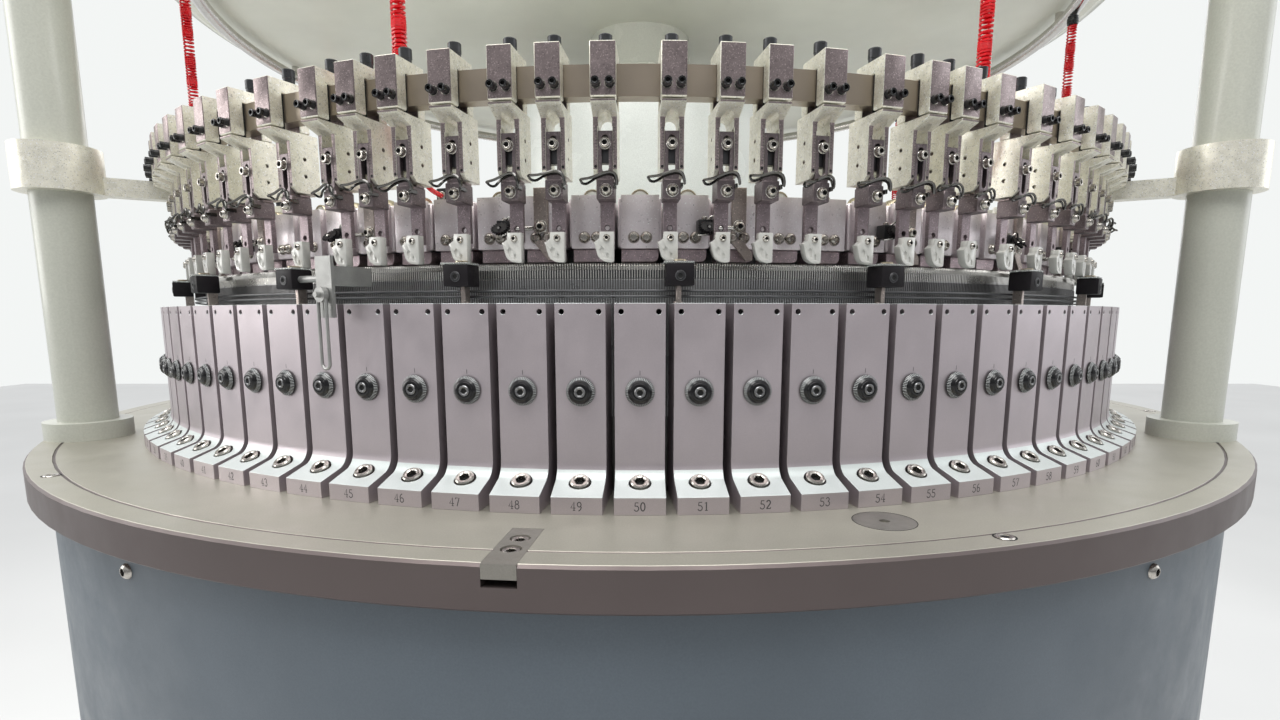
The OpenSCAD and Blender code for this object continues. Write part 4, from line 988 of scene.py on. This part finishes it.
def ceramic_kit():
    w, h, t = 10.6, 15.5, 5.0
    x = -0.64 * w
    outline = [(x + 0.3 * w, h), (x + 0.27 * w, 0.78 * h), (x + 0.1 * w, 0.69 * h), (x, 0.66 * h),
               (x + 0.05 * w, 0.58 * h), (x + 0.11 * w, 0.4 * h), (x + 0.2 * w, 0.2 * h),
               (x + 0.3 * w, 0.11 * h), (x + 0.52 * w, 0.02 * h), (x + 0.72 * w, 0.0), (x + 0.93 * w, 0.0),
               (x + w, 0.04 * h), (x + w, h)]
    base = plate(outline, 0, t)
    groove = plate([(x + 0.36 * w, 0.2 * h), (x + 0.47 * w, 0.2 * h), (x + 0.5 * w, 0.45 * h),
                    (x + 0.4 * w, 0.52 * h), (x + 0.28 * w, 0.42 * h)], t - 0.6, t + 2)
    nick = plate(slot_outline(1.2, 0.1 * h, 0.3 * h, x + 0.68 * w, 6), t - 0.5, t + 2)
    kit = Kit()
    at = place(0, BAR_BACK + 3, CERAMIC_BOTTOM)
    kit.add(carved(base, [groove, nick], 0.7, 25), CERAMIC, at)
    add_screw(kit, button_screw, (3.9, 1.5, 1.7, 1.0, 12), 0.6, at @ Matrix.Translation((0, h - 3.1, t)))
    return kit


fixed("ceramic_feeder_tips", ceramic_kit(), feeder_angles, "ceramic_feeders", 45)


# Dial cams: body, front panel with two button screws, and a round adjuster with a pale cap

def dial_cam_kit():
    half = DIAL_CAM_R * math.tan(math.radians(STEP / 2)) - 1.3
    kit = Kit()
    front, back, top = -DIAL_CAM_R, -DIAL_CAM_BACK, DIAL_CAM_TOP - 1
    kit.add(block((-half, front + 4, DIAL_CAM_H + 1), (half, back, top), 0.8), DIAL_CAM)
    kit.add(block((-half + 1.8, front, DIAL_CAM_H), (half - 1.8, front + 4.6, top + 1), 0.4, 2), DIAL_CAM)
    kit.add(block((-9, back - 0.5, 161.7), (9, back + 16, top), 0.4), DIAL_CAM)
    for x in (-3.5, 3.5):
        add_screw(kit, button_screw, (6.8, 2.9, 2.6, 1.8), 1.0, place(x, DIAL_CAM_R, DIAL_CAM_H + 6))
    at = place(0, DIAL_CAM_R - 16, DIAL_CAM_TOP - 1)
    kit.add(turned([(5.5, 0), (5.5, 7.6), (5.2, 8), (4.7, 8), (4.6, 7.4)], 20, False, False), BRASS, at)
    kit.add(turned([(4.6, 7.4), (4.0, 7.8), (0.9, 7.8), (0.8, 7)], 20, False), PALE_CAP, at)
    return kit


fixed("dial_cam_panels", dial_cam_kit(), cam_angles, "dial_cam_blocks")


def shoe_kit():
    """Plate with one round lower corner, just under its dial cam."""
    half, height, round_r = 10.5, 6.95, 3
    corner = [(half - round_r + round_r * math.cos(a), round_r + round_r * math.sin(a))
              for a in np.linspace(-math.pi / 2, 0, 6)]
    outline = [(-half, 0)] + corner + [(half, height), (-half, height)]
    kit = Kit()
    kit.add(plate(outline, 0, 13, (), 0.3), SHOE, place(0, DIAL_CAM_R - 18, DIAL_CAM_H - 7))
    return kit


fixed("dial_cam_shoe_plates", shoe_kit(), cam_angles, "dial_cam_shoes")


# Latch guards and yarn clips

def latch_kit():
    foot = DIAL_TOP + 4
    outline = [(-4, foot + 10), (4, foot), (8, foot), (8, foot + 4), (4, foot + 9), (4, DIAL_CAM_TOP + 4),
               (-4, DIAL_CAM_TOP + 4)]
    kit = Kit()
    kit.add(plate(outline, 0, 2.5, [slot_outline(3.4, foot + 11.3, foot + 20.7)], 0.25), BROWN,
            place(0, DIAL_CAM_R, 0))
    at = place(0, DIAL_CAM_R + 2.5, foot + 18.5)
    kit.add(washer(3.85, 1.7, 0.8), STEEL, at)
    add_screw(kit, button_screw, (6.4, 2.5, 2.6, 1.6), 1.0, raised(at, 0.8))
    kit.add(turned([(1.6, -2.4), (1.6, 0)], 10), STEEL, at)
    return kit


fixed("latch_guard_plates", latch_kit(), latch_angles, "latch_guards")


def serrated_disc(radius, low, high, teeth=18):
    a = np.arange(2 * teeth) * math.pi / teeth
    r = np.where(np.arange(2 * teeth) % 2 == 0, radius, radius * 0.8)
    xy = np.stack([r * np.cos(a), r * np.sin(a)], 1)
    return plate(xy, low, high, [disc_outline(1.0, 0, 0, 8)], 0.15)


def clip_kit():
    level = DIAL_CAM_H + 11
    r = DIAL_CAM_R + 3.8
    kit = Kit()
    rod = moved(turned([(1.2, 0), (1.2, 13)], 12), Matrix.Rotation(-math.pi / 2, 4, "Y"))
    kit.add(rod, STEEL, Matrix.Translation((-4, -r, level)))
    kit.add(block((-24, -r - 3.5, level - 4), (-16, -r + 3.5, level + 4), 0.5, 2), BLACK)
    at = place(-20, r + 3.5, level - 1)
    kit.add(turned([(0.7, 0), (0.7, 8.5)], 8), STEEL, at)
    for high, lean, turn in ((3.2, 38, 0), (6.4, 46, 0.15)):
        slant = Matrix.Translation((0, 0, high)) @ Matrix.Rotation(math.radians(-lean), 4, "X")
        kit.add(serrated_disc(4.95, -0.45, 0.45), CUBE, at @ slant @ Matrix.Rotation(turn, 4, "Z"))
    hook = [(2.5, -r - 2, level + 3), (5.5, -r - 4.5, level + 5.5), (6.5, -r - 4.5, level + 0.5),
            (3.0, -r - 4, level - 3.5), (-2.5, -r - 3.5, level - 4.5)]
    kit.add(sweep(smooth_path(hook, 4), 0.6, 6), STEEL, Matrix.Translation((-22, 0, 0)))
    add_screw(kit, cap_screw, (3.4, 1.6, 1.6), 0.7, place(-20, r, level + 4, 90))
    return kit


fixed("yarn_clip_sets", clip_kit(), latch_angles, "yarn_clips")


# Needle cylinder with its trick walls and needles

needle_angles = [i * 360 / NEEDLES for i in range(NEEDLES)]
wall_angles = [(i + 0.5) * (360 / NEEDLES) for i in range(NEEDLES)]


def cylinder_piece():
    profile = [(370, -75), (414.5, -75), (414.5, -52), (431.1, -52), (431.1, CYLINDER_TOP - 0.6),
               (430.6, CYLINDER_TOP), (408.2, CYLINDER_TOP), (407.5, CYLINDER_TOP - 0.7), (407.5, -63),
               (370, -63)]
    kit = Kit()
    kit.add(loft([circle(r, h, 256) for r, h in profile], False, False, True), TRICK)
    wall = Kit()
    wall.add(block((-0.28, -NEEDLE_R - 0.6, 40), (0.28, -NEEDLE_R + 1.0, CYLINDER_TOP - 0.3), 0), TRICK)
    build("cylinder_body", [(kit, [0.0]), (wall, wall_angles)], "cylinder", ["needle_cylinder"])


cylinder_piece()


def needle_kit():
    """Latch needle: flat stem and a hook that curls outwards at the top."""
    kit = Kit()
    kit.add(block((-0.24, -NEEDLE_R - 0.1, 42), (0.24, -NEEDLE_R + 0.7, 122.6), 0), NEEDLE)
    hook = [(0, -NEEDLE_R + 0.3, 122.4), (0, -NEEDLE_R + 0.2, 125.4), (0, -NEEDLE_R - 0.6, 126.1),
            (0, -NEEDLE_R - 1.3, 124.8)]
    kit.add(sweep(hook, 0.25, 4), NEEDLE)
    return kit


build("cylinder_needles", [(needle_kit(), needle_angles)], "cylinder")


def dial_piece():
    low = DIAL_TOP - 12
    profile = [(0.01, low - 12), (60, low - 12), (72, low), (406, low), (406, 118.8), (427.6, 118.8),
               (427.6, 123.2), (396, 123.2), (395, DIAL_TOP), (60, DIAL_TOP), (54, 136.5), (35, 136.5),
               (35, 455.3), (49, 455.3), (50, 456.3), (50, 464.3), (49, 465.3), (0.01, 465.3)]
    kit = Kit()
    kit.add(loft([circle(r, h, 192) for r, h in profile], False, False), DARK)
    needle = Kit()
    needle.add(block((-0.25, -428.4, 123.0), (0.25, -398, 124.4), 0), NEEDLE)
    needle.add(block((-0.2, -428.9, 123.5), (0.2, -428.3, 125.6), 0), NEEDLE)
    build("needle_dial_body", [(kit, [0.0]), (needle, wall_angles)], "needle_dial", ["needle_dial"])


dial_piece()


# Coiled hoses, thin tubes and unions

def coil_kit():
    kit = Kit()
    wire, reach, turns = 0.8, 3.65, 72
    low, high = COIL_BOTTOM + wire, COIL_TOP - wire
    t = np.linspace(0, 1, turns * 8)
    a = t * turns * 2 * math.pi
    height = low + (high - low) * (t + 0.012 * np.sin(t * 19) + 0.008 * np.sin(t * 47))
    path = np.stack([reach * np.cos(a), -HOSE_R + reach * np.sin(a), height], 1)
    kit.add(sweep(path, wire, 6), HOSE)
    return kit


fixed("coiled_hoses", coil_kit(), hose_angles, "hose_coils")

# Route of the thin tubes, as (radius, height), from the union down to the nozzle
TAIL_END = (DIAL_CAM_BACK - 0.5, DIAL_CAM_TOP + 6.5)
TAIL_IN = HOSE_R - TAIL_END[0]
TAIL_DROP = RING_H - TAIL_END[1]
TAIL = [(HOSE_R, RING_H + 3), (HOSE_R, RING_H - 0.2 * TAIL_DROP),
        (HOSE_R - 0.11 * TAIL_IN, RING_H - 0.48 * TAIL_DROP),
        (HOSE_R - 0.34 * TAIL_IN, RING_H - 0.74 * TAIL_DROP),
        (HOSE_R - 0.63 * TAIL_IN, RING_H - 0.93 * TAIL_DROP), (TAIL_END[0] + 0.4, TAIL_END[1])]


def tail_kit():
    kit = Kit()
    path = np.array([(0, -r, h) for r, h in smooth_path(TAIL)])
    kit.add(sweep(path, 1.5, 10), HOSE)
    return kit


fixed("thin_air_tubes", tail_kit(), hose_angles, "hose_tails")


def fitting_kit():
    kit = Kit()
    top = place(0, HOSE_R, COIL_TOP, 90)
    collar = [(3.2, 0), (4.6, 0.4), (4.6, 2.2), (4.9, 2.4), (4.9, 5.6), (4.4, 6), (4.4, 7.95)]
    kit.add(turned(collar, 20), BLACK, top)
    kit.add(block((-4.5, -RING_IN + 0.3, RING_H + 3), (4.5, -RING_IN + 17.3, COIL_BOTTOM), 0.8, 2), BLACK)
    kit.add(turned([(3.9, 0), (3.9, 1.2), (2.6, 1.6)], 20), STEEL, place(0, HOSE_R, COIL_BOTTOM - 0.8, 90))
    end_r, end_h = TAIL_END
    kit.add(block((-4.5, -end_r, DIAL_CAM_TOP - 1), (4.5, -end_r + 12, end_h + 5), 0.7, 2), BLACK)
    kit.add(turned([(2.9, 0), (2.9, 1.6), (2.0, 2.0)], 16), STEEL, place(0, end_r - 0.3, end_h))
    return kit


fixed("hose_unions", fitting_kit(), hose_angles, "hose_fittings")


# Screws that the CAD parts leave to the scene

def trim_screws():
    key = Kit()
    for back in (18, 32):
        add_screw(key, cap_screw, (8.6, 4.6, 4), 2.0, place(0, BED_R - back, -5, 90))
    bed = Kit()
    # Near-black rings round the bed screws and the plugs below are painted shadow in their gaps
    bed.add(washer(5.2, 4.4, 0.08, 28), HOLE_SHADOW, place(0, BED_SCREW_R, 0, 90))
    add_screw(bed, cap_screw, (8.8, 0.5, 4, 0.42), 0.1, place(0, BED_SCREW_R, 0, 90))
    plug = Kit()
    plug.add(washer(15.25, 14.85, 0.06, 48), HOLE_SHADOW, place(0, BED_R - 46, 0, 90))
    apron, panel = Kit(), Kit()
    for kit, levels in ((apron, (-35, -246)), (panel, (-276, -520, -808))):
        for level in levels:
            add_screw(kit, button_screw, (9, 2.6, 4, 1.8), 0.9, place(0, APRON_R, level))
    panel_angles = [a + d for a in (60, 180, 300) for d in (-2.2, 2.2)] + [37.6, -37.6]
    kits = [(key, [-5.9]), (bed, [17.6 + 60 * i for i in range(6)]), (plug, [13.5, 133.5, 253.5]),
            (apron, [i * 60 + 30 for i in range(6)]), (panel, panel_angles)]
    build("trim_screws", kits, "machine_frame")


trim_screws()


# Materials for the CAD nodes that stay

def dress(material, *names):
    for name in names:
        mesh = frame["nodes"][name].data
        mesh.materials.clear()
        mesh.materials.append(material)


dress(BED, "bed_plate")
dress(KEY, "bed_key_plate")
dress(PLUG, "bed_plugs")
dress(DARK, "levelling_feet", "needle_guard_ring")
dress(IRON, "bearing_ring", "bull_gear", "drive_pinion")
dress(LEVER, "fork_bracket", "hairpin_lever")
dress(STEEL, "cloth_beam", "air_ring")
dress(RING, "feeder_ring")
# The brackets get the bright copy of the cast metal, with its painted light
dress(CAST_LIT, "feeder_ring_brackets")
dress(PALE_CAP, "dial_cam_plate")
dress(DRUM, "hub_drum")
dress(CROWN, "crown")
dress(COLUMN, "columns")
dress(FRAME_GREY, "takedown_frame")
dress(RUBBER, "nip_roller_front", "nip_roller_rear")
dress(MOTOR, "drive_motor", "motor_bracket")
dress(BLUE, "legs", "base_casting", "apron", "guard_panels", "front_door")
dress(BLACK, "door_handle")


# Floor, light and background

def floor():
    mesh = bpy.data.meshes.new("floor")
    mesh.from_pydata([(-9, -9, 0), (9, -9, 0), (9, 9, 0), (-9, 9, 0)], [], [(0, 1, 2, 3)])
    o = bpy.data.objects.new("floor", mesh)
    bpy.context.scene.collection.objects.link(o)
    n = Nodes("floor")
    n.set("Base Color", n.mix(n.cloud(900, 2), (0.64, 0.64, 0.63), (0.68, 0.68, 0.67)))
    n.set("Roughness", 0.7)
    mesh.materials.append(n.material)


def area_light(name, place_at, target, size, power, color=(1, 1, 1)):
    data = bpy.data.lights.new(name, "AREA")
    data.shape = "RECTANGLE"
    data.size, data.size_y = size
    data.energy = power
    data.color = color
    o = bpy.data.objects.new(name, data)
    o.location = place_at
    o.rotation_euler = (Vector(target) - Vector(place_at)).to_track_quat("-Z", "Y").to_euler()
    o.visible_camera = False
    bpy.context.scene.collection.objects.link(o)


def world():
    """Room light: bright above and behind the machine, dim in front of it."""
    w = bpy.data.worlds.new("world")
    bpy.context.scene.world = w
    w.use_nodes = True
    tree = w.node_tree
    light = tree.nodes["Background"]
    light.inputs["Color"].default_value = (0.97, 0.985, 1.0, 1)
    coords = tree.nodes.new("ShaderNodeTexCoord")
    split = tree.nodes.new("ShaderNodeSeparateXYZ")
    tree.links.new(coords.outputs["Generated"], split.inputs[0])
    total = tree.nodes.new("ShaderNodeMath")
    total.operation = "ADD"
    tree.links.new(map_range(tree, split.outputs["Y"], -0.8, 0.7, 0.26, 0.95), total.inputs[0])
    tree.links.new(map_range(tree, split.outputs["Z"], 0.1, 1.0, 0.0, 0.6), total.inputs[1])
    tree.links.new(total.outputs[0], light.inputs["Strength"])
    seen = tree.nodes.new("ShaderNodeBackground")
    seen.inputs["Color"].default_value = (0.9, 0.92, 0.91, 1)
    seen.inputs["Strength"].default_value = 1.0
    path = tree.nodes.new("ShaderNodeLightPath")
    either = tree.nodes.new("ShaderNodeMath")
    either.operation = "MAXIMUM"
    tree.links.new(path.outputs["Is Camera Ray"], either.inputs[0])
    tree.links.new(path.outputs["Is Transmission Ray"], either.inputs[1])
    mix = tree.nodes.new("ShaderNodeMixShader")
    tree.links.new(either.outputs[0], mix.inputs[0])
    tree.links.new(light.outputs[0], mix.inputs[1])
    tree.links.new(seen.outputs[0], mix.inputs[2])
    tree.links.new(mix.outputs[0], tree.nodes["World Output"].inputs["Surface"])


floor()
world()
area_light("top", (-0.2, -1.15, 2.7), (0, -0.45, 0.9), (2.2, 0.9), 36, (1.0, 0.99, 0.97))
area_light("left", (-2.3, -0.5, 1.7), (0, -0.25, 1.05), (1.2, 1.4), 20, (1.0, 0.99, 0.96))
area_light("right", (2.3, -0.2, 1.7), (0, -0.25, 1.05), (1.2, 1.4), 8, (0.96, 0.98, 1.0))
area_light("back", (0.3, 2.6, 2.0), (0, 0, 1.0), (2.4, 1.6), 24)
area_light("inside", (0, -0.36, 1.285), (0, -0.12, 1.08), (0.5, 0.1), 0.6)
bpy.context.scene.view_settings.view_transform = "Standard"
